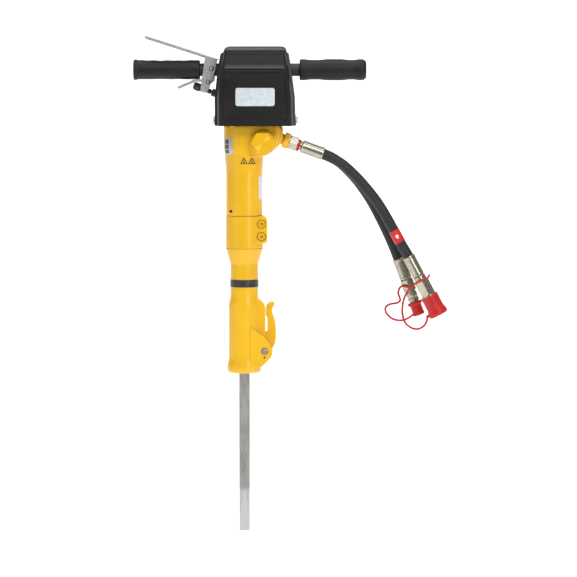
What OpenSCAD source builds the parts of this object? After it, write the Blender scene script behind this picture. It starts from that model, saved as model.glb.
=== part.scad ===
// Handheld hydraulic breaker: percussion hammer, sprung T-handle, tail hoses and chisel.
// Millimetres. Origin at the middle of the chisel's cutting edge, +Z up the tool axis,
// -Y is the operator's front view, +X is the hose side.

/* [Chisel] */
// Width of the hexagon steel across its flats
steel_af = 22; // [19:1:25]
// Length of steel that shows below the front head
steel_show = 336; // [280:1:400]
// Length of the ground wedge at the cutting end
wedge_len = 90; // [60:1:120]
// Outer radius of the shank collar
collar_r = 20; // [18:0.5:21]

/* [Hammer] */
// Radius of the front head
head_r = 33.5; // [32:0.5:35]
// Radius of the neck above the front head
neck_r = 29.7; // [28:0.1:31]
// Radius of the clamp collar at the joint
clamp_r = 39.7; // [38:0.1:42]
// Radius of the upper body above the clamp
body_r = 38.7; // [37:0.1:40]
// Radius of the upper body below the hood
shoulder_r = 43.5; // [42:0.5:45]
// Width across flats of the relief valve plug
plug_af = 46; // [40:1:50]

/* [Handle] */
// Height of the handle tube above the cutting edge
handle_z = 979; // [975:1:985]
// Outer radius of the handle tube
tube_r = 13.5; // [12:0.5:14]
// Radius of the left grip
left_grip_r = 20.5; // [19:0.5:21]
// Radius of the right grip at its bulges
right_grip_r = 22.5; // [21:0.5:24]
// Half of the hood's depth from front to back
hood_half = 72; // [70:1:80]
// Thickness of the hood's wall
hood_wall = 4; // [3:0.5:5]
// Slope of the trigger arm at rest, in degrees
arm_slope = 17.8; // [15:0.1:19]

/* [Hoses] */
// Outer diameter of the tail hoses
hose_d = 22; // [18:1:24]
// Distance of each hose from the middle plane
hose_y = 22; // [20:1:28]
// Width across flats of the hose nuts
nut_af = 27; // [24:1:30]
// Diameter of the cap lanyards
cord_d = 4.4; // [3:0.1:5]

/* [Hidden] */
$fn = 64;

yellow = "gold";
steel = "silver";
black = "dimgray";
red = "crimson";

// Heights along the tool axis
head_bottom = steel_show + 1;
collar_z = 424;
collar_h = 12;
tool_travel = 25;
bushing_z = collar_z + collar_h + tool_travel + 0.5;
bushing_top = bushing_z + 55;
shank_top = 500;
piston_z = shank_top + tool_travel + 2;
guide_z = 575;
guide_top = 605;
clamp_z = 602;
clamp_top = 671;
liner_top = 765;
valve_bore_top = 812;
hood_z = 862;
block_top = 898;
bridge_top = 906;
plate_z = 950;
plate_top = 956;
bore_r = 24;
piston_r = 13;
land_r = 17;
fit = 0.05;

// Retainer latch pivot, on the hose side of the front head
latch_x = 43;
latch_z = 385.4;
latch_pin_r = 7.5;
latch_half = 8;
slot_half = 8.6;
fin_half = 18;
cheek_half = 34;

// Clamp screws
screw_x = 36.3;
screw_zs = [627.5, 654];
lug_x = 49;

// Valve block
spool_z = 882;
spool_r = 7;
block_left = -29;
plug_x = 39;
plug_z = 826;
relief_r = 14;

// Accumulator and suspension
acc_x = 14;
acc_r = 34;
post_y = 50;
post_r = 6;
spring_r = 9.4;
spring_wire = 3.2;

// Trigger group, on the left of the hood
pivot = [-68.9, 981.8];
latch_pivot = [-76.1, 954];
pin_r = 4;
small_pin_r = 3.5;
plate_in = 14.6;
plate_out = 17.1;
rod_slope = 20;
rod_point = [-88, 939];
rod_r = 4;

// Hose ends: start point and downward slope of each straight stretch
adapter_at = [83.7, 831.7];
adapter_slope = 20;
front_end = [347, 586];
front_slope = 62.3;
rear_end = [327, 578];
rear_slope = 69.6;
ferrule_r = 13.25;
ferrule_len = 47;

// Routes of the hoses, from the near ferrule to the far ferrule
front_route = [[166.7, -22, 801.5], [190, -22, 791], [213, -22, 775.5], [243, -22, 746.5],
    [272, -23, 712], [289, -23, 687.5], [304, -24, 662], [318, -24, 636.5], [331.5, -24, 612],
    [347, -24, 586]];
rear_route = [[166.7, 22, 801.5], [188, 22, 791.5], [209, 22, 776], [236, 22, 748],
    [261, 22, 714], [277, 23, 687], [291, 23, 660], [304, 24, 633], [316, 24, 606],
    [327, 24, 578]];

// Routes of the two lanyards, from coupling to cap
cap_route = [[391, -25, 546.5], [388, -35, 542.5], [380, -42, 538.5], [371, -44.5, 534.5],
    [361, -44, 529.5], [350, -41, 520], [342, -38, 508], [336.5, -35, 494],
    [334, -33, 478], [334.5, -31, 463], [339, -29, 447.5], [348, -28, 438], [359, -27, 432.5],
    [371, -26, 433], [381, -25, 440], [386, -24, 449], [387, -24, 457]];
plug_route = [[357, 7.5, 517], [349, 6, 518.5], [341, 7.5, 520], [334, 12, 520], [329, 14.5, 515],
    [326.5, 13, 505], [329.5, 12, 496], [330, 11.5, 488.5], [322, 11, 484], [311, 11, 482.5],
    [302, 12, 478], [299, 12, 470], [302.5, 13, 461.5], [311, 15, 452.5], [323, 18, 447.5],
    [337, 21, 447], [349, 23, 452], [359.5, 24, 459.5]];

function unit(v) = v / norm(v);
function slope_dir(a) = [cos(a), 0, -sin(a)];
function tangent(pts, i, first, last) =
    i == 0 ? first
    : i == len(pts) - 1 ? last
    : unit(unit(pts[i + 1] - pts[i]) + unit(pts[i] - pts[i - 1]));
function side(t) = unit(cross(t, [0, 1, 0.02]));
function tube_ring(p, t, r, n) = [for (k = [0 : n - 1])
    p + r * (cos(360 * k / n) * side(t) + sin(360 * k / n) * cross(t, side(t)))];

// Plain round tube along a list of points, closed at both ends
module swept_tube(pts, r, n, first, last) {
    count = len(pts);
    rings = [for (i = [0 : count - 1]) each tube_ring(pts[i], tangent(pts, i, first, last), r, n)];
    walls = [for (i = [0 : count - 2], k = [0 : n - 1])
        [i * n + k, i * n + (k + 1) % n, (i + 1) * n + (k + 1) % n, (i + 1) * n + k]];
    ends = [[for (k = [n - 1 : -1 : 0]) k], [for (k = [0 : n - 1]) (count - 1) * n + k]];
    polyhedron(rings, concat(walls, ends), convexity = 6);
}

// Coil spring standing on the origin, made as one swept wire
module coil(r, wire, height, turns) {
    steps = 12;
    count = steps * turns;
    n = 6;
    rings = [for (i = [0 : count]) let (a = 360 * i / steps, z = wire / 2 + (height - wire) * i / count)
        each [for (k = [0 : n - 1]) let (q = r + wire / 2 * cos(360 * k / n))
            [q * cos(a), q * sin(a), z + wire / 2 * sin(360 * k / n)]]];
    walls = [for (i = [0 : count - 1], k = [0 : n - 1])
        [i * n + k, (i + 1) * n + k, (i + 1) * n + (k + 1) % n, i * n + (k + 1) % n]];
    ends = [[for (k = [0 : n - 1]) k], [for (k = [n - 1 : -1 : 0]) count * n + k]];
    polyhedron(rings, concat(walls, ends), convexity = 8);
}

// Outline in X and Z, given depth from y0 to y1
module slab(y0, y1) {
    translate([0, y1, 0]) rotate([90, 0, 0]) linear_extrude(y1 - y0) children();
}

// Round bar parallel to Y through x, z
module bar_y(x, z, y0, y1, r) {
    translate([x, y1, z]) rotate([90, 0, 0]) cylinder(r = r, h = y1 - y0);
}

// Round bar parallel to X through y, z
module bar_x(x0, x1, y, z, r) {
    translate([x0, y, z]) rotate([0, 90, 0]) cylinder(r = r, h = x1 - x0);
}

// Hexagon prism of a given width across flats, standing on the origin
module hexagon(af, h) {
    cylinder(r = af / 2 / cos(30), h = h, $fn = 6);
}

module tube(r_out, r_in, h) {
    difference() {
        cylinder(r = r_out, h = h);
        translate([0, 0, -1]) cylinder(r = r_in, h = h + 2);
    }
}

// Turns children so that their +Z runs along a downward slope from p, at depth y
module on_slope(p, y, slope) {
    translate([p[0], y, p[1]]) rotate([0, 90 + slope, 0]) children();
}

// ---------------------------------------------------------------- tool
module chisel() {
    hex_r = steel_af / 2 / cos(30);
    tip = [[-hex_r - 1, -1], [hex_r + 1, -1], [hex_r + 1, wedge_len + 4], [-hex_r - 1, wedge_len + 4]];
    ground = [[-1, 0], [-5, 9], [-hex_r, wedge_len], [-hex_r, wedge_len + 2], [hex_r, wedge_len + 2],
        [hex_r, wedge_len], [5, 9], [1, 0]];
    color(steel) {
        difference() {
            rotate(33) hexagon(steel_af, shank_top);
            rotate([90, 0, 90]) translate([0, 0, -hex_r - 1]) linear_extrude(2 * hex_r + 2)
                difference() {
                    polygon(tip);
                    polygon(ground);
                }
        }
        rotate_extrude() polygon([[0, collar_z - 7], [collar_r - 7, collar_z - 7], [collar_r, collar_z],
            [collar_r, collar_z + collar_h - 2], [collar_r - 2, collar_z + collar_h],
            [0, collar_z + collar_h]]);
    }
}

module piston() {
    color(steel) rotate_extrude() polygon([[0, piston_z], [piston_r - 1.5, piston_z],
        [piston_r, piston_z + 1.5], [piston_r, 640], [land_r, 640], [land_r, 662], [piston_r + 1, 662],
        [piston_r + 1, 690], [land_r, 690], [land_r, 706], [12, 706], [12, 779], [11, 780], [0, 780]]);
}

// ---------------------------------------------------------------- front head
module fin_outline() {
    polygon([[10, 497], [30, 496], [37, 490], [42, 483], [44.7, 475], [44.7, 400], [10, 400]]);
}

module cheek_outline() {
    polygon([[12, 438], [45, 412], [57, 394], [60, 385], [59.5, 377], [56, 371], [37, 352], [33, 350],
        [12, 350]]);
}

module front_head() {
    color(yellow) difference() {
        union() {
            rotate_extrude() polygon([[0, head_bottom], [head_r - 4, head_bottom],
                [head_r + 1, head_bottom + 2], [head_r + 3, head_bottom + 7], [head_r + 3, 355],
                [head_r + 1, 362], [head_r, 366], [head_r, 481], [head_r - 1, 487], [neck_r, 498],
                [neck_r, 570], [neck_r + 1.5, 575], [clamp_r - 2, 597], [clamp_r, clamp_z - 1], [clamp_r, clamp_z],
                [neck_r, clamp_z], [neck_r, 640], [0, 640]]);
            slab(-fin_half, fin_half) fin_outline();
            slab(-cheek_half, cheek_half) cheek_outline();
        }
        translate([0, 0, head_bottom - 1]) cylinder(r = bore_r, h = bushing_top - head_bottom + 1);
        translate([0, 0, 500]) cylinder(r = 15, h = 100);
        translate([0, 0, guide_z]) cylinder(r = 22, h = 40);
        translate([0, 0, guide_top]) cylinder(r = bore_r, h = 40);
        slab(-slot_half, slot_half)
            polygon([[10, 403], [10, 430], [72, 430], [72, 345], [30, 372], [26, 385]]);
        bar_y(latch_x, latch_z, -40, 40, latch_pin_r);
        bar_y(latch_x, latch_z - 13, -40, -20, 1.5);
    }
}

module lower_tool_sleeve() {
    color(steel) translate([0, 0, head_bottom + 2]) tube(bore_r, collar_r + 0.6, 24);
}

module tool_bushing() {
    color("darkgoldenrod") difference() {
        translate([0, 0, bushing_z]) cylinder(r = bore_r, h = bushing_top - bushing_z);
        translate([0, 0, bushing_z - 1]) rotate(33) hexagon(steel_af + 0.8, bushing_top - bushing_z + 2);
    }
}

module piston_guide() {
    color("darkgoldenrod") difference() {
        translate([0, 0, guide_z]) cylinder(r = 22, h = guide_top - guide_z);
        translate([0, 0, guide_z - 1]) cylinder(r = piston_r + fit, h = guide_top - guide_z + 2);
        for (z = [guide_z + 6, guide_z + 20]) translate([0, 0, z]) cylinder(r = 17, h = 4);
    }
}

module piston_seals() {
    color(black) for (z = [guide_z + 6, guide_z + 20])
        translate([0, 0, z]) tube(17, piston_r + fit, 4);
}

module latch_pin() {
    color(steel) difference() {
        bar_y(latch_x, latch_z, 2 - cheek_half, cheek_half - 2, latch_pin_r);
        bar_y(latch_x, latch_z, -cheek_half, cheek_half, 3);
    }
}

module latch_roll_pin() {
    color(black) bar_y(latch_x, latch_z - 13, -cheek_half, -20, 1.5);
}

module retainer_latch() {
    lever = [[15.5, 410], [15.5, 418.4], [21, 423.9], [30, 426], [48.7, 424], [48.7, 455], [45.3, 459],
        [45.3, 478], [48, 483], [52, 487], [57, 489], [62, 488.5], [64, 485], [63.5, 481], [60, 476],
        [58.8, 470], [60, 464], [64, 455], [66.3, 442], [67, 430], [67, 410], [65.5, 401], [62, 393],
        [53, 380], [46, 375.9], [40, 375.9], [34, 381]];
    color(yellow) difference() {
        slab(-latch_half, latch_half) polygon(lever);
        bar_y(latch_x, latch_z, -20, 20, latch_pin_r + fit);
    }
}

module name_band() {
    color(black) translate([0, 0, 520]) tube(neck_r + 0.5, neck_r, 16);
}

// ---------------------------------------------------------------- cylinder
module clamp_collar() {
    lug = [[20, 613], [45, 613], [48, 615], [lug_x, 619], [lug_x, 662], [46, 669], [40, 671], [20, 671]];
    color(yellow) difference() {
        union() {
            translate([0, 0, clamp_z]) cylinder(r = clamp_r, h = clamp_top - clamp_z);
            slab(-26, 26) polygon(lug);
        }
        translate([0, 0, clamp_z - 1]) cylinder(r = neck_r, h = clamp_top - clamp_z + 2);
        translate([20, -1.5, clamp_z - 1]) cube([40, 3, clamp_top - clamp_z + 2]);
        for (z = screw_zs) {
            bar_y(screw_x, z, -30, 30, 5);
            bar_y(screw_x, z, -45, -18, 9.3);
        }
    }
}

module clamp_screws() {
    color(steel) for (z = screw_zs) difference() {
        union() {
            bar_y(screw_x, z, -18, 22, 5);
            bar_y(screw_x, z, -26, -18, 8);
        }
        translate([screw_x, -22, z]) rotate([90, 0, 0]) hexagon(8, 6);
    }
}

module cylinder_liner() {
    color(steel) translate([0, 0, guide_top]) tube(bore_r, land_r + fit, liner_top - guide_top);
}

module block_outline() {
    polygon([[0, 796], [40, 796], [58, 806], [72, 818], [79, 830], [82, 842], [82, hood_z], [0, hood_z]]);
}

module backhead() {
    color(yellow) difference() {
        union() {
            rotate_extrude() polygon([[0, 641], [neck_r, 641], [neck_r, clamp_top], [body_r - 1, clamp_top],
                [body_r, clamp_top + 1], [body_r, 760], [body_r + 1.6, 785], [shoulder_r - 1, 808],
                [shoulder_r, 816], [shoulder_r, hood_z], [0, hood_z]]);
            slab(-42, 42) block_outline();
            bar_y(plug_x, plug_z, -50, 0, 24);
            translate([block_left, -38, hood_z]) cube([91, 76, block_top - hood_z]);
        }
        translate([0, 0, 640]) cylinder(r = bore_r, h = liner_top - 640);
        translate([0, 0, liner_top - 1]) cylinder(r = 18 + fit, h = valve_bore_top - liner_top + 1);
        translate([0, 0, 800]) cylinder(r = 13, h = 20);
        bar_x(block_left - 1, 22, 0, spool_z, spool_r + fit);
        bar_y(plug_x, plug_z, -51, -14, relief_r);
        for (y = [-hose_y, hose_y]) on_slope(adapter_at, y, adapter_slope)
            translate([0, 0, -14]) cylinder(r = 11, h = 30);
        bar_y(-28, 681, -38, -20, 3);
    }
}

module distributor_valve() {
    color(steel) translate([0, 0, liner_top + 0.3]) tube(18, 12.6, 26);
}

module start_spool() {
    color(steel) {
        bar_x(-44, -10, 0, spool_z, spool_r);
        bar_x(-10, -2, 0, spool_z, 4);
        bar_x(-2, 6, 0, spool_z, spool_r);
        translate([-47, -8, spool_z - spool_r]) cube([4.5, 16, 59]);
    }
}

module spool_spring() {
    color(steel) translate([18.2, 0, spool_z]) rotate([0, 90, 0]) coil(4.6, 1, 3.6, 3);
}

module valve_plug() {
    color(yellow) {
        translate([plug_x, -52, plug_z]) rotate([90, 0, 0]) intersection() {
            hexagon(plug_af, 12);
            rotate_extrude() polygon([[0, 0], [27, 0], [27, 9], [22.5, 12], [0, 12]]);
        }
        bar_y(plug_x, plug_z, -53, -44, 13.5);
    }
}

module plug_seal() {
    color(black) translate([plug_x, -50, plug_z]) rotate([90, 0, 0]) tube(20, 13.5, 2);
}

module relief_poppet() {
    color(steel) {
        bar_y(plug_x, plug_z, -29, -17.5, relief_r - fit);
        bar_y(plug_x, plug_z, -36, -29, 5);
    }
}

module relief_spring() {
    color(steel) translate([plug_x, -33, plug_z]) rotate([90, 0, 0]) coil(9, 2, 11, 4);
}

module grub_screw() {
    color(black) difference() {
        bar_y(-28, 681, -26, -20.5, 3);
        translate([-28, -24, 681]) rotate([90, 0, 0]) hexagon(3, 4);
    }
}

module data_plate() {
    color(steel) rotate(-155) rotate_extrude(angle = 28) polygon([[body_r + 3.4, 799], [shoulder_r - 1, 808],
        [shoulder_r, 816], [shoulder_r, 837], [shoulder_r + 0.7, 837], [shoulder_r + 0.7, 816],
        [shoulder_r - 0.3, 808], [body_r + 4.1, 799]]);
}

module side_plate() {
    color("white") rotate(-38) rotate_extrude(angle = 44) polygon([[body_r, 706], [body_r, 755],
        [body_r + 0.4, 755], [body_r + 0.4, 706]]);
}

// ---------------------------------------------------------------- suspension and accumulator
module suspension_bridge() {
    color(black) difference() {
        hull() for (x = [acc_x - 24, acc_x + 24], y = [-56, 56])
            translate([x, y, block_top]) cylinder(r = 6, h = bridge_top - block_top, $fn = 32);
        for (y = [-post_y, post_y]) translate([acc_x, y, block_top - 1]) cylinder(r = post_r, h = 20);
    }
}

module guide_posts() {
    color(steel) for (y = [-post_y, post_y]) translate([acc_x, y, block_top]) cylinder(r = post_r, h = 74);
}

module post_nuts() {
    color(steel) for (y = [-post_y, post_y]) translate([acc_x, y, plate_top + 0.3]) difference() {
        union() {
            cylinder(r = 10, h = 2);
            translate([0, 0, 2]) hexagon(18, 9);
        }
        translate([0, 0, -1]) cylinder(r = post_r, h = 20);
    }
}

module suspension_springs() {
    color(steel) for (y = [-post_y, post_y]) translate([acc_x, y, bridge_top])
        coil(spring_r, spring_wire, plate_z - bridge_top - 0.2, 6);
}

module accumulator_housing() {
    color(black) translate([acc_x, 0, bridge_top]) difference() {
        cylinder(r = acc_r, h = 16);
        translate([0, 0, 6]) cylinder(r = acc_r - 6, h = 20);
        cylinder(r = 4, h = 20, center = true);
    }
}

module accumulator_diaphragm() {
    color(black) translate([acc_x, 0, bridge_top + 16]) rotate_extrude()
        polygon([[0, -4], [14, -4], [26, 0], [acc_r, 0], [acc_r, 2], [25, 2], [13, -2], [0, -2]]);
}

module accumulator_cap() {
    color(yellow) translate([acc_x, 0, bridge_top + 18]) difference() {
        rotate_extrude() polygon([[0, 0], [acc_r, 0], [acc_r, 6], [acc_r - 3, 9], [0, 9]]);
        translate([0, 0, -1]) cylinder(r = 24, h = 5);
        cylinder(r = 5, h = 20);
    }
}

module charging_plug() {
    color(steel) translate([acc_x, 0, bridge_top + 23]) {
        cylinder(r = 5, h = 4);
        translate([0, 0, 4]) hexagon(15, 5);
    }
}

// ---------------------------------------------------------------- hoses
module hose_adapters() {
    color(yellow) for (y = [-hose_y, hose_y]) on_slope(adapter_at, y, adapter_slope) difference() {
        union() {
            hexagon(29, 12);
            translate([0, 0, -14]) cylinder(r = 11, h = 15);
        }
        translate([0, 0, -15]) cylinder(r = 6, h = 40);
    }
}

module hose_nuts() {
    color(steel) for (y = [-hose_y, hose_y]) on_slope(adapter_at, y, adapter_slope) translate([0, 0, 12]) {
        difference() {
            hexagon(nut_af, 19);
            translate([0, 0, -1]) cylinder(r = 6, h = 30);
        }
    }
}

module colour_ring() {
    color(red) on_slope(adapter_at, -hose_y, adapter_slope) translate([0, 0, 31]) tube(12, 9, 4);
}

module near_ferrules() {
    color(steel) for (y = [-hose_y, hose_y]) on_slope(adapter_at, y, adapter_slope) translate([0, 0, 31]) {
        cylinder(r = 9, h = 10);
        translate([0, 0, 9]) cylinder(r = ferrule_r, h = 48.3);
    }
}

module front_hose() {
    color(black) swept_tube(front_route, hose_d / 2, 12, slope_dir(adapter_slope), slope_dir(front_slope));
}

module rear_hose() {
    color(black) swept_tube(rear_route, hose_d / 2, 12, slope_dir(adapter_slope), slope_dir(rear_slope));
}

module hose_flag() {
    color(red) translate([318, -24, 636.5]) rotate([0, 90 + 61.14, 0]) translate([0, 0, 1])
        tube(hose_d / 2 + 0.7, hose_d / 2, 26);
}

module far_ferrules() {
    color(steel) {
        on_slope(front_end, -24, front_slope) cylinder(r = ferrule_r, h = ferrule_len);
        on_slope(rear_end, 24, rear_slope) cylinder(r = ferrule_r, h = ferrule_len);
    }
}

module female_coupling() {
    color(steel) on_slope(front_end, -24, front_slope) translate([0, 0, ferrule_len]) {
        cylinder(r = 13.2, h = 10);
        translate([0, 0, 9.5]) hexagon(30, 36);
        translate([0, 0, 45]) difference() {
            cylinder(r = 16, h = 31);
            translate([0, 0, 9]) cylinder(r = 11, h = 40);
        }
    }
}

module male_coupling() {
    color(steel) on_slope(rear_end, 24, rear_slope) translate([0, 0, ferrule_len]) {
        hexagon(nut_af, 26);
        translate([0, 0, 26]) cylinder(r = 12, h = 23);
        translate([0, 0, 49]) cylinder(r = 9.5, h = 17);
    }
}

module dust_cap() {
    color(red) on_slope(front_end, -24, front_slope) {
        translate([0, 0, 94]) difference() {
            rotate_extrude() polygon([[0, 0], [18.5, 0], [18.5, 30], [20.8, 38], [20.8, 43], [18, 46],
                [0, 46]]);
            translate([0, 0, -1]) cylinder(r = 16, h = 30);
        }
        translate([0, 0, 129]) difference() {
            translate([0, -4, 0]) cube([26, 8, 6]);
            translate([0, 0, -1]) cylinder(r = 16.5, h = 9);
        }
    }
}

module dust_plug() {
    color(red) on_slope(rear_end, 24, rear_slope) translate([0, 0, 98]) difference() {
        union() {
            cylinder(r = 15.5, h = 6);
            cylinder(r = 12.5, h = 30);
        }
        translate([0, 0, -1]) cylinder(r = 9.5, h = 16.1);
    }
}

module cap_lanyard() {
    color(red) swept_tube(cap_route, cord_d / 2, 8, unit([-0.1, -1, -0.3]), unit([0.3, 0, 1]));
}

module plug_lanyard() {
    color(red) swept_tube(plug_route, cord_d / 2, 8, unit([-1, -0.2, 0.2]), unit([1, 0, 0.2]));
}

// ---------------------------------------------------------------- handle
module handle_frame() {
    color(black) difference() {
        union() {
            translate([-48, -62, plate_z]) cube([141, 124, plate_top - plate_z]);
            translate([-53.5, -46, plate_z]) cube([152, 92, plate_top - plate_z]);
            for (x = [-38, 66]) translate([x, -16, plate_top - 1]) cube([16, 32, handle_z - plate_top + 17]);
            for (x = [-53.5, 95], y = [-44, 24]) translate([x, y, 864]) cube([3.5, 20, plate_z - 863]);
            for (y = [-34, 34]) {
                bar_x(-57.3, -50, y, 873, 8);
                bar_x(95, 103.9, y, 873, 8);
            }
        }
        bar_x(-60, 120, 0, handle_z, tube_r);
        for (y = [-post_y, post_y]) translate([acc_x, y, plate_z - 1]) cylinder(r = post_r + 0.4, h = 10);
        for (y = [-34, 34]) {
            bar_x(-60, -40, y, 873, 4);
            bar_x(90, 110, y, 873, 4);
        }
    }
}

module handle_tube() {
    color(steel) difference() {
        bar_x(-228, 252, 0, handle_z, tube_r);
        bar_x(-229, 253, 0, handle_z, tube_r - 3);
        bar_y(pivot[0], pivot[1], -20, 20, pin_r);
    }
}

module left_grip() {
    color(black) translate([-93.3, 0, handle_z]) rotate([0, -90, 0]) rotate_extrude()
        polygon([[tube_r, 0], [left_grip_r - 1.5, 0], [left_grip_r, 2], [left_grip_r, 30],
            [left_grip_r - 0.7, 45], [left_grip_r, 60], [left_grip_r - 0.7, 80], [left_grip_r, 100],
            [left_grip_r, 132], [left_grip_r + 1.4, 134], [left_grip_r + 1.4, 138], [left_grip_r, 140.7],
            [0, 140.7], [0, 134.7], [tube_r, 134.7]]);
}

module right_grip() {
    neck = right_grip_r - 1.75;
    color(black) translate([116.8, 0, handle_z]) rotate([0, 90, 0]) rotate_extrude()
        polygon([[tube_r, 0], [right_grip_r - 1.5, 0], [right_grip_r, 2], [right_grip_r, 10], [neck, 26],
            [neck, 42], [right_grip_r, 56], [right_grip_r, 90], [neck, 104], [neck, 116],
            [right_grip_r, 126], [right_grip_r, 134], [right_grip_r - 3, 139], [16, 141], [0, 141],
            [0, 135.2], [tube_r, 135.2]]);
}

// One level of the hood: a thin rounded rectangle
module hood_level(x0, x1, z, half, r) {
    hull() for (x = [x0 + r, x1 - r], y = [r - half, half - r])
        translate([x, y, z]) cylinder(r = r, h = 0.1, $fn = 32);
}

module hood_body(inset) {
    hull() {
        hood_level(-61.3 + inset, 108.5 - inset, hood_z - inset, hood_half - inset, 14);
        hood_level(-61.7 + inset, 107 - inset, 922, hood_half - inset, 14);
        hood_level(-55 + inset, 99 - inset, 984, hood_half - 4 - inset, 14);
        hood_level(-49 + inset, 94 - inset, 1014 - inset / 2, hood_half - 10 - inset, 12);
        hood_level(-38 + inset, 83 - inset, 1029.9 - inset, hood_half - 20 - inset, 12);
    }
}

module hood() {
    color(black) difference() {
        hood_body(0);
        hood_body(hood_wall);
        bar_x(-80, 130, 0, handle_z, tube_r + 0.4);
        for (y = [-34, 34]) bar_x(-80, 130, y, 873, 4.2);
        bar_x(-80, -40, 0, 930, 9.2);
        translate([-75, -18, 940]) cube([25, 10, 36]);
    }
}

module hood_badge() {
    color(steel) slab(-hood_half - 1.2, -hood_half)
        translate([-18, 902]) square([83, 39]);
}

module hood_bolts() {
    color(steel) for (y = [-34, 34]) {
        bar_x(-63, -44, y, 873, 4);
        bar_x(-66.4, -62.9, y, 873, 7);
        bar_x(91, 110, y, 873, 4);
        bar_x(109.9, 113.4, y, 873, 7);
    }
}

module hood_washers() {
    color(steel) for (y = [-34, 34], x = [-62.9, 108.4])
        translate([x, y, 873]) rotate([0, 90, 0]) tube(10, 4, 1.5);
}

module trigger_pin() {
    color(steel) bar_y(pivot[0], pivot[1], -20, 20, pin_r);
}

module rod_boot() {
    color(black) on_slope(rod_point, 0, rod_slope) translate([0, 0, 31]) difference() {
        rotate_extrude() polygon([[0, -10], [6.5, -10], [8, -7], [6.5, -4], [8, -1], [8, 4], [0, 4]]);
        translate([0, 0, -11]) cylinder(r = rod_r + fit, h = 20);
    }
}

// ---------------------------------------------------------------- trigger group
module trigger_lever() {
    run = [cos(180 - arm_slope), sin(180 - arm_slope)];
    top_at = [-53.2, 1001.7];
    tip = top_at + 160 * run;
    below = [-6 * sin(arm_slope), -6 * cos(arm_slope)];
    cheek = [[-57, 1001.6], [-58, 984], [-61, 974], [-78.5, 941], [-79, 931], [-93, 931],
        [-93.5, 940], [-88, 985], [-88, 1000], [-91, 1012.4]];
    color(steel) difference() {
        union() {
            for (y = [-plate_out, plate_in]) slab(y, y + 2.5) polygon(cheek);
            slab(-plate_out, plate_out) polygon([top_at, top_at + 44 * run, top_at + 44 * run + 0.45 * below,
                top_at + 0.45 * below]);
            slab(-12.5, 12.5) polygon([top_at + 40 * run, tip, tip + 0.45 * below,
                top_at + 40 * run + 0.45 * below]);
            for (y = [-12.5, 10]) slab(y, y + 2.5) polygon([top_at + 34 * run, tip, tip + below,
                top_at + 34 * run + below]);
            on_slope(rod_point, 0, 27.5) translate([-7.5, -plate_in - 0.2, -1.2])
                cube([15, 2 * plate_in + 0.4, 2.4]);
            bar_y(latch_pivot[0], latch_pivot[1], -plate_out - 1.5, plate_out + 1.5, small_pin_r);
        }
        bar_y(pivot[0], pivot[1], -30, 30, pin_r + fit);
        on_slope(rod_point, 0, 27.5) translate([0, 0, -4]) cylinder(r = 6.4, h = 8);
    }
}

module safety_latch() {
    arm = [[-69, 950], [-62, 956], [-61, 968], [-66, 966], [-76, 959], [-92, 959.5], [-110, 958],
        [-113, 955], [-112, 952.4], [-92, 954], [-80, 949]];
    finger = [[-109, 955], [-124, 948.6], [-139, 941], [-140, 943.4], [-124.5, 951], [-109, 957.6]];
    color(steel) difference() {
        union() {
            slab(-14.2, -12) polygon(arm);
            slab(-14.2, 9) polygon(finger);
        }
        bar_y(latch_pivot[0], latch_pivot[1], -30, 0, small_pin_r + fit);
    }
}

module push_rod() {
    color(steel) on_slope(rod_point, 0, rod_slope) {
        translate([0, 0, -12]) cylinder(r = rod_r, h = 51);
        translate([0, 0, 39]) sphere(r = rod_r);
        translate([0, 0, 2.6]) cylinder(r = 8, h = 5);
    }
    color(black) on_slope(rod_point, 0, rod_slope) translate([0, 0, -20.5]) rotate_extrude()
        polygon([[0, 0], [5, 0], [8.5, 4], [8.5, 13], [7, 17.9], [0, 17.9]]);
}

chisel();
piston();
front_head();
lower_tool_sleeve();
tool_bushing();
piston_guide();
piston_seals();
latch_pin();
latch_roll_pin();
retainer_latch();
name_band();
clamp_collar();
clamp_screws();
cylinder_liner();
backhead();
distributor_valve();
start_spool();
spool_spring();
valve_plug();
plug_seal();
relief_poppet();
relief_spring();
suspension_bridge();
guide_posts();
post_nuts();
suspension_springs();
accumulator_housing();
accumulator_diaphragm();
accumulator_cap();
charging_plug();
data_plate();
side_plate();
grub_screw();
hose_adapters();
hose_nuts();
colour_ring();
near_ferrules();
front_hose();
rear_hose();
hose_flag();
far_ferrules();
female_coupling();
male_coupling();
dust_cap();
dust_plug();
cap_lanyard();
plug_lanyard();
handle_frame();
handle_tube();
left_grip();
right_grip();
hood();
hood_badge();
hood_bolts();
hood_washers();
trigger_pin();
rod_boot();
trigger_lever();
safety_latch();
push_rod();
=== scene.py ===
import math
import bmesh
import bpy
from mathutils import Matrix, Vector


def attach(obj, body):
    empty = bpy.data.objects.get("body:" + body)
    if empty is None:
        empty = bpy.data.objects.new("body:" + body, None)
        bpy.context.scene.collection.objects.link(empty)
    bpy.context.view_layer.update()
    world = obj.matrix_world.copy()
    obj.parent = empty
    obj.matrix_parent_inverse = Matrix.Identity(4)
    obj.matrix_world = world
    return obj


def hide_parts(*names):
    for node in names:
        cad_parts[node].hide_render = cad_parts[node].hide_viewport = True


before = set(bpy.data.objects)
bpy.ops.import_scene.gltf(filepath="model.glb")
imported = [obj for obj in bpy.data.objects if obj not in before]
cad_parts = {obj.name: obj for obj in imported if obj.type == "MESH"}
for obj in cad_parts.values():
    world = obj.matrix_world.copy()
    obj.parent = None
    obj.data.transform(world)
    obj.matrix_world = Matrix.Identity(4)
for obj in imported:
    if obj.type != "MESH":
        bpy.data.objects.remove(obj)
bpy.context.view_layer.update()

MM = 0.001

# ---------------------------------------------------------------- view
# A product picture: a long lens well in front of the breaker and a little above it. One tall
# soft lamp stands to the right, a weak one to the left, and two wide ones hang above.
view_aim = Vector((0.0935, 0, 0.516))
view_distance = 8.2
view_height = 1.10
picture_width = 1.223

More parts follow.
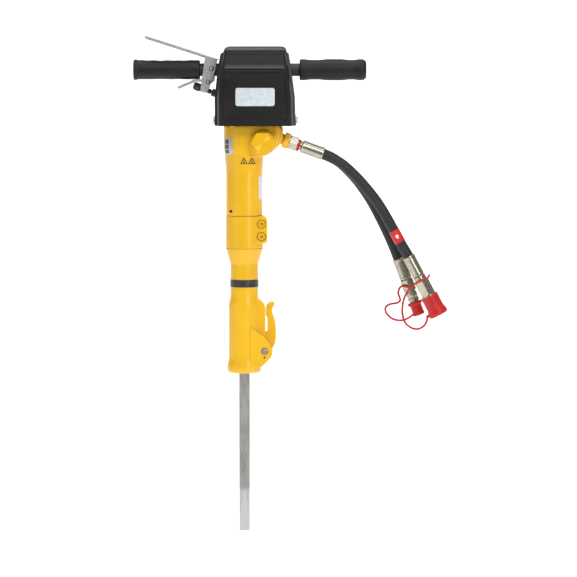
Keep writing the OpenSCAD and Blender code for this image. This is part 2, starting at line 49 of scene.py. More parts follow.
camera_data = bpy.data.cameras.new("camera")
camera_data.sensor_width = 36
camera_data.lens = 36 * view_distance / picture_width
camera_data.clip_end = 60
camera = bpy.data.objects.new("camera", camera_data)
bpy.context.scene.collection.objects.link(camera)
camera.location = (view_aim.x, -math.sqrt(view_distance**2 - (view_height - view_aim.z) ** 2), view_height)
camera.rotation_euler = (view_aim - camera.location).to_track_quat("-Z", "Y").to_euler()
bpy.context.scene.camera = camera


def softbox(name, place, aim, size, power, colour=(1, 1, 1)):
    lamp = bpy.data.lights.new(name, "AREA")
    lamp.shape = "RECTANGLE"
    lamp.size, lamp.size_y = size
    lamp.energy = power
    lamp.color = colour
    obj = bpy.data.objects.new(name, lamp)
    bpy.context.scene.collection.objects.link(obj)
    obj.location = place
    obj.rotation_euler = (Vector(aim) - Vector(place)).to_track_quat("-Z", "Y").to_euler()


softbox("key_softbox", (1.3, -2.2, 1.5), (0, 0, 0.6), (0.7, 2.2), 24)
softbox("fill_softbox", (-2.4, -1.9, 1.3), (0, 0, 0.6), (1.2, 2.2), 7)
softbox("top_softbox", (0.1, -1.9, 2.7), (0, 0, 0.8), (2.6, 1.0), 32)
softbox("overhead_softbox", (0.1, 0.15, 2.9), (0.1, 0.1, 0), (2.4, 0.9), 30)

bpy.context.scene.view_settings.view_transform = "Standard"
world = bpy.data.worlds.new("studio")
bpy.context.scene.world = world
world.use_nodes = True
world.node_tree.nodes["Background"].inputs["Color"].default_value = (1, 1, 1, 1)
world_nodes = world.node_tree.nodes
heading = world_nodes.new("ShaderNodeTexCoord")
parts_of_heading = world_nodes.new("ShaderNodeSeparateXYZ")
studio_glow = world_nodes.new("ShaderNodeMapRange")
for socket, value in (("From Min", -0.25), ("From Max", 0.7), ("To Min", 0.10), ("To Max", 0.42)):
    studio_glow.inputs[socket].default_value = value
world.node_tree.links.new(heading.outputs["Generated"], parts_of_heading.inputs[0])
world.node_tree.links.new(parts_of_heading.outputs["Z"], studio_glow.inputs["Value"])
world.node_tree.links.new(studio_glow.outputs[0], world_nodes["Background"].inputs["Strength"])


# ---------------------------------------------------------------- floor
# Seamless pale studio paper, matt, with only a trace of fibre in it. It runs from well in front
# of the breaker to a curved wall behind, and glows from just in front of the breaker onwards.
def blank_material(name):
    material = bpy.data.materials.new(name)
    material.use_nodes = True
    return material, material.node_tree.nodes["Principled BSDF"]


def add_node(material, kind, **values):
    node = material.node_tree.nodes.new(kind)
    for key, value in values.items():
        if key in node.inputs:
            node.inputs[key].default_value = value
        else:
            setattr(node, key, value)
    return node


def place_of(material, stretch=(1, 1, 1)):
    """Position on the object in metres, stretched for grain that runs one way."""
    coords = add_node(material, "ShaderNodeTexCoord")
    mapping = add_node(material, "ShaderNodeMapping")
    mapping.inputs["Scale"].default_value = stretch
    material.node_tree.links.new(coords.outputs["Object"], mapping.inputs["Vector"])
    return mapping.outputs["Vector"]


def noise(material, scale, detail=3, stretch=(1, 1, 1), rough=0.5):
    node = add_node(material, "ShaderNodeTexNoise", Scale=scale, Detail=detail, Roughness=rough)
    material.node_tree.links.new(place_of(material, stretch), node.inputs["Vector"])
    return node.outputs["Fac"]


def ramp(material, source, stops):
    """Colour ramp from a list of (position, colour or grey)."""
    node = add_node(material, "ShaderNodeValToRGB")
    material.node_tree.links.new(source, node.inputs["Fac"])
    while len(node.color_ramp.elements) < len(stops):
        node.color_ramp.elements.new(0.5)
    for element, (position, colour) in zip(node.color_ramp.elements, stops):
        element.position = position
        if isinstance(colour, (int, float)):
            colour = (colour, colour, colour)
        element.color = (*colour, 1)
    return node.outputs["Color"]


def mixed(material, factor, first, second, blend="MIX"):
    """Colour mix; factor, first and second are sockets, colours or numbers."""
    node = add_node(material, "ShaderNodeMix", data_type="RGBA", blend_type=blend)
    for socket, value in ((node.inputs["Factor"], factor), (node.inputs[6], first), (node.inputs[7], second)):
        if isinstance(value, bpy.types.NodeSocket):
            material.node_tree.links.new(value, socket)
        elif isinstance(value, tuple):
            socket.default_value = (*value, 1)
        else:
            socket.default_value = value
    return node.outputs[2]


def bump(material, height, strength, distance, under=None):
    node = add_node(material, "ShaderNodeBump", Strength=strength, Distance=distance)
    material.node_tree.links.new(height, node.inputs["Height"])
    if under is not None:
        material.node_tree.links.new(under, node.inputs["Normal"])
    return node.outputs["Normal"]


def edge_wear_and_highlight(material, low, high):
    """Near 1 on the sharp outer edges of a piece and 0 elsewhere: real wear on the chisel, a painted
    highlight on the yellow enamel and the hood.
    """
    geometry = add_node(material, "ShaderNodeNewGeometry")
    return ramp(material, geometry.outputs["Pointiness"], [(low, 0), (high, 1)])


def finish(shader, material, colour=None, roughness=None, normal=None, **uniform):
    for name, source in (("Base Color", colour), ("Roughness", roughness), ("Normal", normal)):
        if isinstance(source, bpy.types.NodeSocket):
            material.node_tree.links.new(source, shader.inputs[name])
    for name, value in uniform.items():
        shader.inputs[name.replace("_", " ")].default_value = value


def grained_material(name, grain, dark, light, roughness, relief=None, **uniform):
    """Material whose colour, roughness and relief follow one noise with the settings in grain."""
    material, shader = blank_material(name)
    pattern = noise(material, *grain)
    colour = ramp(material, pattern, [(0.3, dark), (0.7, light)])
    gloss = ramp(material, pattern, [(0.2, roughness[0]), (0.8, roughness[1])])
    normal = bump(material, pattern, *relief) if relief else None
    finish(shader, material, colour, gloss, normal, **uniform)
    return material


paper, shader = blank_material("studio_paper")
fibre = noise(paper, 60)
finish(shader, paper, ramp(paper, fibre, [(0.3, 0.74), (0.7, 0.77)]),
    ramp(paper, fibre, [(0, 0.85), (1, 0.95)]),
    Emission_Color=(1, 1, 1, 1))
depth_into_room = add_node(paper, "ShaderNodeSeparateXYZ")
paper.node_tree.links.new(place_of(paper), depth_into_room.inputs[0])
backlit = add_node(paper, "ShaderNodeMapRange",
    **{"From Min": -2.0, "From Max": -0.9, "To Min": 0.0, "To Max": 0.85})
paper.node_tree.links.new(depth_into_room.outputs["Y"], backlit.inputs["Value"])
paper.node_tree.links.new(backlit.outputs[0], shader.inputs["Emission Strength"])
sweep_start, sweep_radius = 8.6, 2.0
sweep = [(-12, 0), (sweep_start, 0)]
sweep += [(sweep_start + sweep_radius * math.sin(a), sweep_radius * (1 - math.cos(a)))
    for a in (math.radians(6 * k) for k in range(1, 16))]
sweep += [(sweep_start + sweep_radius, 9)]
floor_data = bpy.data.meshes.new("studio_floor")
floor_data.from_pydata([(x, y, z - 0.0005) for y, z in sweep for x in (-12, 12)], [],
    [(2 * k, 2 * k + 1, 2 * k + 3, 2 * k + 2) for k in range(len(sweep) - 1)])
floor_data.materials.append(paper)
floor_data.shade_smooth()
floor = bpy.data.objects.new("studio_floor", floor_data)
bpy.context.scene.collection.objects.link(floor)


# ---------------------------------------------------------------- hoses
# Two wire-braided rubber tail hoses, 22 mm outside, with a wrapped cover that shows a fine
# diagonal weave. Each is crimped into a ferrule at both ends and hangs under its own weight.
hose_d = 22 * MM
hose_y = 22
front_route = [(166.7, -22, 801.5), (190, -22, 791), (213, -22, 775.5), (243, -22, 746.5),
    (272, -23, 712), (289, -23, 687.5), (304, -24, 662), (318, -24, 636.5), (331.5, -24, 612),
    (347, -24, 586)]
rear_route = [(166.7, 22, 801.5), (188, 22, 791.5), (209, 22, 776), (236, 22, 748),
    (261, 22, 714), (277, 23, 687), (291, 23, 660), (304, 24, 633), (316, 24, 606),
    (327, 24, 578)]


def metres(points):
    return [Vector(p) * MM for p in points]


def smooth_route(points, per_span):
    """Catmull-Rom curve through the points."""
    ends = [2 * points[0] - points[1], *points, 2 * points[-1] - points[-2]]
    route = []
    for a, b, c, d in zip(ends, ends[1:], ends[2:], ends[3:]):
        for k in range(per_span):
            t = k / per_span
            route.append(0.5 * (2 * b + (c - a) * t + (2 * a - 5 * b + 4 * c - d) * t**2
                + (3 * b - a - 3 * c + d) * t**3))
    return [*route, points[-1]]


def cord_curve(name, route, diameter, material, steps=12):
    data = bpy.data.curves.new(name, "CURVE")
    data.dimensions = "3D"
    spline = data.splines.new("POLY")
    spline.points.add(len(route) - 1)
    for point, place in zip(spline.points, route):
        point.co = (*place, 1)
    data.bevel_depth = diameter / 2
    data.bevel_resolution = steps
    data.use_fill_caps = True
    data.materials.append(material)
    obj = bpy.data.objects.new(name, data)
    bpy.context.scene.collection.objects.link(obj)
    spline.use_smooth = True
    return obj


hose_rubber, shader = blank_material("hose_rubber")
weave_a = add_node(hose_rubber, "ShaderNodeTexWave", Scale=420, Distortion=0.4, bands_direction="DIAGONAL")
hose_rubber.node_tree.links.new(place_of(hose_rubber), weave_a.inputs["Vector"])
weave_b = add_node(hose_rubber, "ShaderNodeTexWave", Scale=420, Distortion=0.4, bands_direction="DIAGONAL")
hose_rubber.node_tree.links.new(place_of(hose_rubber, (-1, 1, 1)), weave_b.inputs["Vector"])
weave = mixed(hose_rubber, 0.5, weave_a.outputs["Fac"], weave_b.outputs["Fac"])
dust = noise(hose_rubber, 35, 4)
hose_grey = ramp(hose_rubber, dust, [(0.3, (0.009, 0.009, 0.0096)), (0.7, (0.017, 0.017, 0.018))])
finish(shader, hose_rubber, mixed(hose_rubber, weave, hose_grey, (0.02, 0.02, 0.021)),
    ramp(hose_rubber, dust, [(0.2, 0.46), (0.8, 0.62)]), bump(hose_rubber, weave, 0.25, 0.0003),
    Specular_IOR_Level=0.35)

front_path = smooth_route(metres(front_route), 6)
rear_path = smooth_route(metres(rear_route), 6)
front_hose = cord_curve("front_tail_hose", front_path, hose_d, hose_rubber)
rear_hose = cord_curve("rear_tail_hose", rear_path, hose_d, hose_rubber)
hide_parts("front_hose")
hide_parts("rear_hose")


# ---------------------------------------------------------------- cap lanyards
# Soft red moulded cords, 4.4 mm thick, looped round each coupling and joined to its dust cap
# so that the cap isn't lost when it is pulled off.
cord_d = 4.4 * MM
cap_route = [(391, -25, 546.5), (388, -35, 542.5), (380, -42, 538.5), (371, -44.5, 534.5), (361, -44, 529.5),
    (350, -41, 520), (342, -38, 508), (336.5, -35, 494), (334, -33, 478), (334.5, -31, 463),
    (339, -29, 447.5),
    (348, -28, 438), (359, -27, 432.5), (371, -26, 433), (381, -25, 440), (386, -24, 449), (387, -24, 457)]
plug_route = [(357, 7.5, 517), (349, 6, 518.5), (341, 7.5, 520), (334, 12, 520), (329, 14.5, 515),
    (326.5, 13, 505),
    (329.5, 12, 496), (330, 11.5, 488.5), (322, 11, 484), (311, 11, 482.5), (302, 12, 478), (299, 12, 470),
    (302.5, 13, 461.5), (311, 15, 452.5), (323, 18, 447.5), (337, 21, 447), (349, 23, 452),
    (359.5, 24, 459.5)]

red_cord = grained_material("red_moulded_cord", (140,), (0.36, 0.010, 0.011), (0.48, 0.014, 0.015),
    (0.36, 0.5), (0.15, 0.0004), Subsurface_Weight=0.08, Subsurface_Scale=0.003, Specular_IOR_Level=0.3)
cap_path = smooth_route(metres(cap_route), 4)
plug_path = smooth_route(metres(plug_route), 4)
cap_lanyard = cord_curve("cap_lanyard_cord", cap_path, cord_d, red_cord, 6)
plug_lanyard = cord_curve("plug_lanyard_cord", plug_path, cord_d, red_cord, 6)
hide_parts("cap_lanyard")
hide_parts("plug_lanyard")
for piece, slot in ((front_hose, "hose_rubber"), (rear_hose, "hose_rubber"), (cap_lanyard, "red_cord"),
        (plug_lanyard, "red_cord")):
    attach(piece, "hammer")


# ---------------------------------------------------------------- hose ends
# Steel ferrules, swivel nuts and couplings with a yellow passivated zinc plate. The ferrules are
# crimped by eight jaws, which leave eight long dents; the nuts are chamfered 27 mm hexagons.
adapter_at = (83.7, 831.7)
adapter_slope = 20
front_end = (347, 586)
front_slope = 62.3
rear_end = (327, 578)
rear_slope = 69.6
nut_af = 27


def on_slope(point, y, slope, along=0):
    """Frame whose +Z runs down a slope in the XZ plane, starting along that line."""
    turn = Matrix.Rotation(math.radians(90 + slope), 4, "Y")
    start = Matrix.Translation(Vector((point[0], y, point[1])) * MM)
    return start @ turn @ Matrix.Translation((0, 0, along * MM))


def new_piece(name, bm, material, body, smooth_angle=35):
    """Turns a bmesh, in the row frame, into a piece that rides on a body."""
    bmesh.ops.remove_doubles(bm, verts=bm.verts, dist=0.001 * MM)
    bmesh.ops.recalc_face_normals(bm, faces=bm.faces)
    data = bpy.data.meshes.new(name)
    bm.to_mesh(data)
    bm.free()
    data.materials.append(material)
    obj = bpy.data.objects.new(name, data)
    bpy.context.scene.collection.objects.link(obj)
    data.shade_smooth()
    data.set_sharp_from_angle(angle=math.radians(smooth_angle))
    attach(obj, body)
    return obj


def filleted(points, radius, steps=4):
    """Profile of (r, z) points with each inner corner rounded by an arc-like curve."""
    points = [Vector(p) for p in points]
    out = [points[0]]
    for a, b, c in zip(points, points[1:], points[2:]):
        before, after = (a - b), (c - b)
        reach = min(radius, before.length * 0.49, after.length * 0.49)
        if reach < 0.02 or before.angle(after) > math.radians(172):
            out.append(b)
            continue
        start, end = b + before.normalized() * reach, b + after.normalized() * reach
        for k in range(steps + 1):
            t = k / steps
            out.append(start * (1 - t) ** 2 + b * 2 * t * (1 - t) + end * t**2)
    return [*out, points[-1]]


def skin(bm, rows, matrix, closed_ends=True):
    """Joins rings of points, all the same length, into a tube; rows are lists of (x, y, z) mm."""
    rings = [[bm.verts.new(matrix @ (Vector(p) * MM)) for p in row] for row in rows]
    count = len(rings[0])
    for low, high in zip(rings, rings[1:]):
        for k in range(count):
            bm.faces.new((low[k], low[(k + 1) % count], high[(k + 1) % count], high[k]))
    if closed_ends:
        bm.faces.new(rings[0][::-1])
        bm.faces.new(rings[-1])


def turned(bm, profile, matrix, steps=72, shape=None):
    """Revolves (r, z) points into a solid, or into a ring if the profile starts off the axis."""
    hollow = profile[0][0] > 0.5
    if hollow:
        profile = [*profile, profile[0]]
    rows = []
    for r, z in profile:
        row = []
        for k in range(steps):
            a = 2 * math.pi * k / steps
            radius = max(0.01, shape(a, r, z) if shape else r)
            row.append((radius * math.cos(a), radius * math.sin(a), z))
        rows.append(row)
    skin(bm, rows, matrix, not hollow)
    if hollow:
        bmesh.ops.remove_doubles(bm, verts=bm.verts, dist=1e-7)


def hexagonal(af, soften=0.985):
    """Radius rule for a hexagon whose corners are cut back by the turned profile."""
    def shape(a, r, z):
        within = (a + math.pi / 6) % (math.pi / 3) - math.pi / 6
        flat = af / 2 / math.cos(within)
        return min(flat, af / 2 / math.cos(math.pi / 6) * soften, r)
    return shape


def hex_profile(af, length, chamfer=1.6):
    corner = af / 2 / math.cos(math.pi / 6)
    return [(0, 0), (af / 2 - 0.6, 0), (af / 2 + 0.1, 0.35), (corner, chamfer), (corner, chamfer + 0.4),
        (corner, length - chamfer - 0.4), (corner, length - chamfer), (af / 2 + 0.1, length - 0.35),
        (af / 2 - 0.6, length), (0, length)]


def crimped(start, end, dents=8, depth=0.55):
    """Radius rule with flat crimp dents between two heights."""
    def shape(a, r, z):
        if not start < z < end:
            return r
        runout = min(1, (z - start) / 2.5, (end - z) / 2.5)
        return r - depth * runout * max(0, math.cos(dents * a)) ** 0.6
    return shape


yellow_zinc, shader = blank_material("yellow_zinc_plate")
iris = noise(yellow_zinc, 85, 2)
scuff = noise(yellow_zinc, 900, 3, (1, 1, 0.25))
tint = ramp(yellow_zinc, iris, [(0.25, (0.30, 0.27, 0.16)), (0.45, (0.42, 0.40, 0.31)),
    (0.6, (0.36, 0.34, 0.30)),
    (0.78, (0.42, 0.31, 0.21))])
finish(shader, yellow_zinc, mixed(yellow_zinc, 0.12, tint, scuff, "OVERLAY"),
    ramp(yellow_zinc, scuff, [(0.2, 0.22), (0.8, 0.30)]), bump(yellow_zinc, scuff, 0.02, 0.0002),
    Metallic=1.0)

near_ends = []
for side, y in (("front", -hose_y), ("rear", hose_y)):
    bm = bmesh.new()
    turned(bm, filleted([(0, 31), (9, 31), (9, 39.5), (10.5, 40), (13.4, 40.6), (13.4, 42), (13.1, 43),
        (13.1, 83), (13.5, 84.5), (13.5, 87.4), (12.9, 88.3), (11.2, 88.3), (11.1, 86.5),
        (0, 86.5)], 0.7),
        on_slope(adapter_at, y, adapter_slope), 96, crimped(44, 82))
    ferrule = new_piece(f"{side}_near_ferrule", bm, yellow_zinc, "hammer")
    bm = bmesh.new()
    turned(bm, hex_profile(nut_af, 19), on_slope(adapter_at, y, adapter_slope, 12), 144, hexagonal(nut_af))
    nut = new_piece(f"{side}_swivel_nut", bm, yellow_zinc, "hammer", 25)
    near_ends += [ferrule, nut]
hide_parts("near_ferrules")
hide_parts("hose_nuts")

for side, point, y, slope in (("front", front_end, -24, front_slope), ("rear", rear_end, 24, rear_slope)):
    bm = bmesh.new()
    turned(bm, filleted([(0, 1.8), (11.1, 1.8), (11.2, 0), (12.9, 0), (13.5, 0.9), (13.5, 3.8), (13.1, 5.3),
        (13.1, 41), (13.4, 42), (13.4, 44.4), (12.4, 46), (10.5, 47),
        (0, 47)], 0.7), on_slope(point, y, slope), 96,
        crimped(6.5, 40.5))
    new_piece(f"{side}_far_ferrule", bm, yellow_zinc, "hammer")
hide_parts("far_ferrules")

bm = bmesh.new()
turned(bm, filleted([(0, 0.1), (12.4, 0.1), (13.2, 1), (13.2, 7.6), (12.4, 8.6), (11.8, 9.5), (0, 9.5)], 0.5),
    on_slope(front_end, -24, front_slope, 47), 96)
turned(bm, hex_profile(30, 36, 2.2), on_slope(front_end, -24, front_slope, 56.5), 144, hexagonal(30))
turned(bm, filleted([(0, 45.1), (15.9, 45.1), (15.9, 75.9), (12, 75.9), (11, 74), (11, 54), (0, 54)], 0.6),
    on_slope(front_end, -24, front_slope, 47), 96)
female_coupling = new_piece("female_quick_coupling", bm, yellow_zinc, "hammer", 28)
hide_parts("female_coupling")

bm = bmesh.new()
turned(bm, hex_profile(nut_af, 26), on_slope(rear_end, 24, rear_slope, 47), 144, hexagonal(nut_af))
turned(bm, filleted([(0, 25.8), (10.6, 25.8), (10.6, 28), (12, 29.4), (12, 38), (11.2, 39), (11.2, 41),
    (12, 42), (12, 48.6), (9.4, 49), (9.4, 66),
    (0, 66)], 0.5), on_slope(rear_end, 24, rear_slope, 47), 96)
male_coupling = new_piece("male_quick_coupling", bm, yellow_zinc, "hammer", 28)
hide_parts("male_coupling")


# ---------------------------------------------------------------- dust cap and plug
# Soft red plastic covers pushed over and into the couplings. The big cap flares at its closed
# end, where a folded tab takes the lanyard; the plug has a wide pulling flange.
red_plastic, shader = blank_material("red_cap_plastic")
cloud = noise(red_plastic, 45, 3)
pores = noise(red_plastic, 700, 2)
finish(shader, red_plastic, ramp(red_plastic, cloud, [(0.3, (0.38, 0.011, 0.011)),
    (0.7, (0.50, 0.017, 0.016))]),
    ramp(red_plastic, cloud, [(0.2, 0.34), (0.8, 0.5)]), bump(red_plastic, pores, 0.12, 0.0003),
    Subsurface_Weight=0.06, Subsurface_Scale=0.004, Specular_IOR_Level=0.3)

bm = bmesh.new()
cap_frame = on_slope(front_end, -24, front_slope)
turned(bm, filleted([(0, 123.2), (16.1, 123.2), (16.1, 94.4), (16.6, 93.8), (18.1, 93.8), (18.7, 94.6),
    (18.7, 97), (18.3, 98), (18.4, 122), (19.4, 127), (20.8, 132), (20.9, 137), (19.6, 139.6), (17, 140.2),
    (0, 140.2)],
    1.4, 5),
    cap_frame, 96)
tab_rows = [[(x, side * width, 132 + lift) for side, lift in ((-1, -3), (-0.5, -3.2), (0.5, -3.2), (1, -3),
    (1.05, 0), (1, 3), (0.5, 3.2), (-0.5, 3.2), (-1, 3),
    (-1.05, 0))]
    for x, width in ((16.5, 7), (19, 6), (22, 4.6), (24.5, 3.8), (25.8, 3), (26, 1.5))]
skin(bm, tab_rows, cap_frame)
dust_cap = new_piece("pressure_dust_cap", bm, red_plastic, "hammer", 50)
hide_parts("dust_cap")

bm = bmesh.new()
turned(bm, filleted([(0, 113.2), (9.6, 113.2), (9.6, 98.6), (10.2, 98), (15, 98), (15.6, 99), (15.6, 103),
    (14.9, 104), (12.6, 104.6), (12.2, 107), (12.2, 121), (13, 123.5), (13, 126), (11.8, 127.6), (9.5, 128),
    (0, 128)],
    1.0, 5),
    on_slope(rear_end, 24, rear_slope), 96, lambda a, r, z: r + (0.5 * math.sin(9 * a) if r > 14.5 else 0))
dust_plug = new_piece("return_dust_plug", bm, red_plastic, "hammer", 50)
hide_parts("dust_plug")


# ---------------------------------------------------------------- red markers on the hose
# A serrated plastic ring at the pressure adapter and a printed sleeve with a plain flow arrow,
# both shrunk on so that the pressure hose is known from the return hose.
marker_red = grained_material("marker_red", (260,), (0.46, 0.012, 0.011), (0.58, 0.018, 0.016), (0.3, 0.42),
    (0.08, 0.0002), Specular_IOR_Level=0.35)

bm = bmesh.new()
turned(bm, filleted([(9, 31), (12.4, 31.2), (12.8, 35.8), (9, 36.4)], 0.4),
    on_slope(adapter_at, -hose_y, adapter_slope),
    180, lambda a, r, z: r - (2.4 if r > 10 and math.cos(9 * a) < 0 else 0))
colour_ring = new_piece("serrated_colour_ring", bm, marker_red, "hammer")
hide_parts("colour_ring")


def sleeve_rows(path, radius, steps=48):
    rows = []
    for i, p in enumerate(path):
        along = (path[min(i + 1, len(path) - 1)] - path[max(i - 1, 0)]).normalized()
        side = along.cross(Vector((0, 1, 0))).normalized()
        up = along.cross(side)
        rows.append([tuple((p + (math.cos(a) * side + math.sin(a) * up) * radius(i)) / MM)
            for a in (2 * math.pi * k / steps for k in range(steps))])
    return rows


flag_first, flag_last = 41, 47
flag_path = front_path[flag_first:flag_last + 1]
bm = bmesh.new()
skin(bm, sleeve_rows([flag_path[0], *flag_path, flag_path[-1]],
    lambda i: (11.05 if i in (0, len(flag_path) + 1) else 11.6) * MM), Matrix(), False)
hose_flag = new_piece("flow_sleeve", bm, marker_red, "hammer")
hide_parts("hose_flag")

arrow_white, shader = blank_material("arrow_white")
finish(shader, arrow_white, ramp(arrow_white, noise(arrow_white, 300), [(0.3, 0.78), (0.7, 0.86)]),
    ramp(arrow_white, noise(arrow_white, 200), [(0.2, 0.35), (0.8, 0.5)]))
flag_mid = flag_path[len(flag_path) // 2]
flag_along = (flag_path[-1] - flag_path[0]).normalized()
flag_across = flag_along.cross(Vector((0, 1, 0))).normalized()
bm = bmesh.new()
arrow_rows = []
for u, half in ((4.5, 1.9), (2.5, 1.9), (0.6, 1.9), (0.5, 4.6), (-0.8, 3.6), (-2.2, 2.4), (-3.6, 1.2),
    (-4.8, 0.15)):
    row = []
    for k in range(7):
        a = half * (k / 3 - 1) / 11.7
        row.append(bm.verts.new(flag_mid + flag_along * u * MM
            + (flag_across * math.sin(a) + Vector((0, -1, 0)) * math.cos(a)) * 11.72 * MM))
    arrow_rows.append(row)
for low, high in zip(arrow_rows, arrow_rows[1:]):
    for k in range(6):
        bm.faces.new((low[k], low[k + 1], high[k + 1], high[k]))
bmesh.ops.solidify(bm, geom=bm.faces[:], thickness=-0.1 * MM)
flow_arrow = new_piece("flow_arrow", bm, arrow_white, "hammer")


# ---------------------------------------------------------------- chisel
# One forged bar of 22 mm hexagon tool steel with an upset collar, oil-black from hardening and
# rubbed bright on its corners. The last 90 mm are ground on two sides to a blunt cutting edge.
steel_af = 22
wedge_len = 90
collar_z = 424


def wedge_half(z):
    """Half thickness of the ground wedge at height z, in mm."""
    if z < 9:
        return 1 + 4 * z / 9
    if z < wedge_len:
        return 5 + 7.8 * (z - 9) / (wedge_len - 9)
    return 20


tool_steel, shader = blank_material("tool_steel")
scale = noise(tool_steel, 55, 5, (1, 1, 0.35), 0.6)
grind = noise(tool_steel, 1400, 2, (1, 1, 0.04))
height_of = add_node(tool_steel, "ShaderNodeSeparateXYZ")
tool_steel.node_tree.links.new(place_of(tool_steel), height_of.inputs[0])
ground = ramp(tool_steel, height_of.outputs["Z"], [(0.085, 1), (0.094, 0)])
forged = ramp(tool_steel, scale, [(0.3, (0.20, 0.195, 0.185)), (0.55, (0.32, 0.315, 0.30)),
    (0.75, (0.42, 0.41, 0.39))])
bright = ramp(tool_steel, grind, [(0.3, 0.36), (0.7, 0.52)])
steel_tone = mixed(tool_steel, ground, forged, bright)
rubbed = edge_wear_and_highlight(tool_steel, 0.52, 0.58)
finish(shader, tool_steel, mixed(tool_steel, rubbed, steel_tone, (0.55, 0.54, 0.52)),
    ramp(tool_steel, scale, [(0.2, 0.38), (0.8, 0.56)]),
    bump(tool_steel, grind, 0.1, 0.0003, bump(tool_steel, scale, 0.2, 0.0006)), Metallic=0.85)

bm = bmesh.new()
bar_shape = hexagonal(steel_af, 0.975)
levels = [0, 0.8, 3, 6, 9, 12] + [20 + 7 * k for k in range(10)] + [88, 90, 92, 110, 160, 220, 280, 330,
    360, 417]
rows = []
for z in levels:
    row = []
    for k in range(144):
        a = 2 * math.pi * k / 144 + math.radians(3)
        r = bar_shape(a - math.radians(3), 99, z)
        half = wedge_half(z)
        row.append((r * math.cos(a), max(-half, min(half, r * math.sin(a))), z))
    rows.append(row)
for r, z in filleted([(13, 417.5), (20, collar_z), (20, 434), (18, 436), (11.9, 436.1), (11.9, 499),
    (10.5, 500)], 1):
    rows.append([(min(r, 99) * math.cos(a), r * math.sin(a), z)
        for a in (2 * math.pi * k / 144 + math.radians(3) for k in range(144))])
skin(bm, rows, Matrix())
chisel = new_piece("chisel_steel", bm, tool_steel, "chisel", 22)
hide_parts("chisel")


# ---------------------------------------------------------------- front head
# Cast steel head, machined inside, sprayed with gloss yellow enamel. A fin and a broad latch
# housing are cast on the hose side, and the mouth ends in a thick rounded lip.
def outline_of(points, radius, steps=5):
    """Closed outline with its corners rounded."""
    count = len(points)
    looped = filleted([*points[-1:], *points, *points[:1]], radius, steps)
    return looped[1:-1] if count > 2 else points


def slab(bm, outline, y0, y1, edge=0.0):
    """Extrudes an outline in X and Z from y0 to y1 and bevels its two rims; sizes in mm."""
    low = [bm.verts.new(Vector((p[0], y0, p[1])) * MM) for p in outline]
    high = [bm.verts.new(Vector((p[0], y1, p[1])) * MM) for p in outline]
    faces = [bm.faces.new(low), bm.faces.new(high[::-1])]
    count = len(outline)
    for k in range(count):
        bm.faces.new((low[k], high[k], high[(k + 1) % count], low[(k + 1) % count]))
    if edge:
        rims = list({e for f in faces for e in f.edges})
        bmesh.ops.bevel(bm, geom=rims, offset=edge * MM, segments=3, profile=0.5, affect="EDGES",
            clamp_overlap=True)


def across(x, z, y0):
    """Frame whose +Z points to the back, along +Y, from y0."""
    return Matrix.Translation(Vector((x, y0, z)) * MM) @ Matrix.Rotation(math.radians(-90), 4, "X")


def facing(x, z, y0):
    """Frame whose +Z points to the front, along -Y, from y0."""
    return Matrix.Translation(Vector((x, y0, z)) * MM) @ Matrix.Rotation(math.radians(90), 4, "X")


def helper_object(bm, name="tool"):
    bmesh.ops.recalc_face_normals(bm, faces=bm.faces)
    data = bpy.data.meshes.new(name)
    bm.to_mesh(data)
    bm.free()
    obj = bpy.data.objects.new(name, data)
    bpy.context.scene.collection.objects.link(obj)
    return obj


def part_from(*steps):
    """bmesh built by calling each (function, arguments...) on it."""
    bm = bmesh.new()
    for step in steps:
        step[0](bm, *step[1:])
    return bm


def settled(obj):
    """Applies the modifiers of obj to its mesh."""
    shaped = bpy.data.meshes.new_from_object(obj.evaluated_get(bpy.context.evaluated_depsgraph_get()))
    obj.modifiers.clear()
    old, obj.data = obj.data, shaped
    bpy.data.meshes.remove(old)


def machined(base, cuts):
    """Takes the cuts out of base, one after another."""
    for tool in cuts:
        step = base.modifiers.new("cut", "BOOLEAN")
        step.object = tool
        step.operation = "DIFFERENCE"
        step.solver = "EXACT"
    settled(base)
    for tool in cuts:
        bpy.data.objects.remove(tool, do_unlink=True)


def cast(name, solids, cuts, voxel, soften, material, body):
    """One casting: solids grown into one skin, its edges softened, then the cuts machined out."""
    joined = bmesh.new()
    for bm in solids:
        bmesh.ops.recalc_face_normals(bm, faces=bm.faces)
        data = bpy.data.meshes.new("solid")
        bm.to_mesh(data)
        bm.free()
        joined.from_mesh(data)
        bpy.data.meshes.remove(data)
    base = bpy.data.meshes.new(name)
    joined.to_mesh(base)
    joined.free()
    base = bpy.data.objects.new(name, base)
    bpy.context.scene.collection.objects.link(base)
    net = base.modifiers.new("skin", "REMESH")
    net.mode = "VOXEL"
    net.voxel_size = voxel * MM
    ease = base.modifiers.new("soften", "SMOOTH")
    ease.factor = 0.5
    ease.iterations = soften
    settled(base)
    machined(base, [helper_object(bm) for bm in cuts])
    base.data.materials.clear()
    base.data.materials.append(material)
    base.data.shade_smooth()
    base.data.set_sharp_from_angle(angle=math.radians(38))
    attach(base, body)
    return base


yellow_paint, shader = blank_material("yellow_enamel")
flow = noise(yellow_paint, 12, 3)
peel = noise(yellow_paint, 420, 2)
grime = noise(yellow_paint, 38, 6, (1, 1, 0.6), 0.65)
enamel = ramp(yellow_paint, flow, [(0.3, (0.70, 0.385, 0.008)), (0.7, (0.78, 0.44, 0.010))])
dirty = ramp(yellow_paint, grime, [(0.62, 0), (0.8, 0.16)])
enamel = mixed(yellow_paint, dirty, enamel, (0.42, 0.24, 0.02))
# Sharp edges are painted a lighter, brighter yellow: a painted highlight, not wear.
enamel = mixed(yellow_paint, edge_wear_and_highlight(yellow_paint, 0.53, 0.62), enamel, (0.86, 0.55, 0.05))
finish(shader, yellow_paint, enamel, ramp(yellow_paint, grime, [(0.3, 0.27), (0.8, 0.40)]),
    bump(yellow_paint, peel, 0.07, 0.0004, bump(yellow_paint, flow, 0.12, 0.002)),
    Coat_Weight=0.3, Coat_Roughness=0.14, Specular_IOR_Level=0.3)

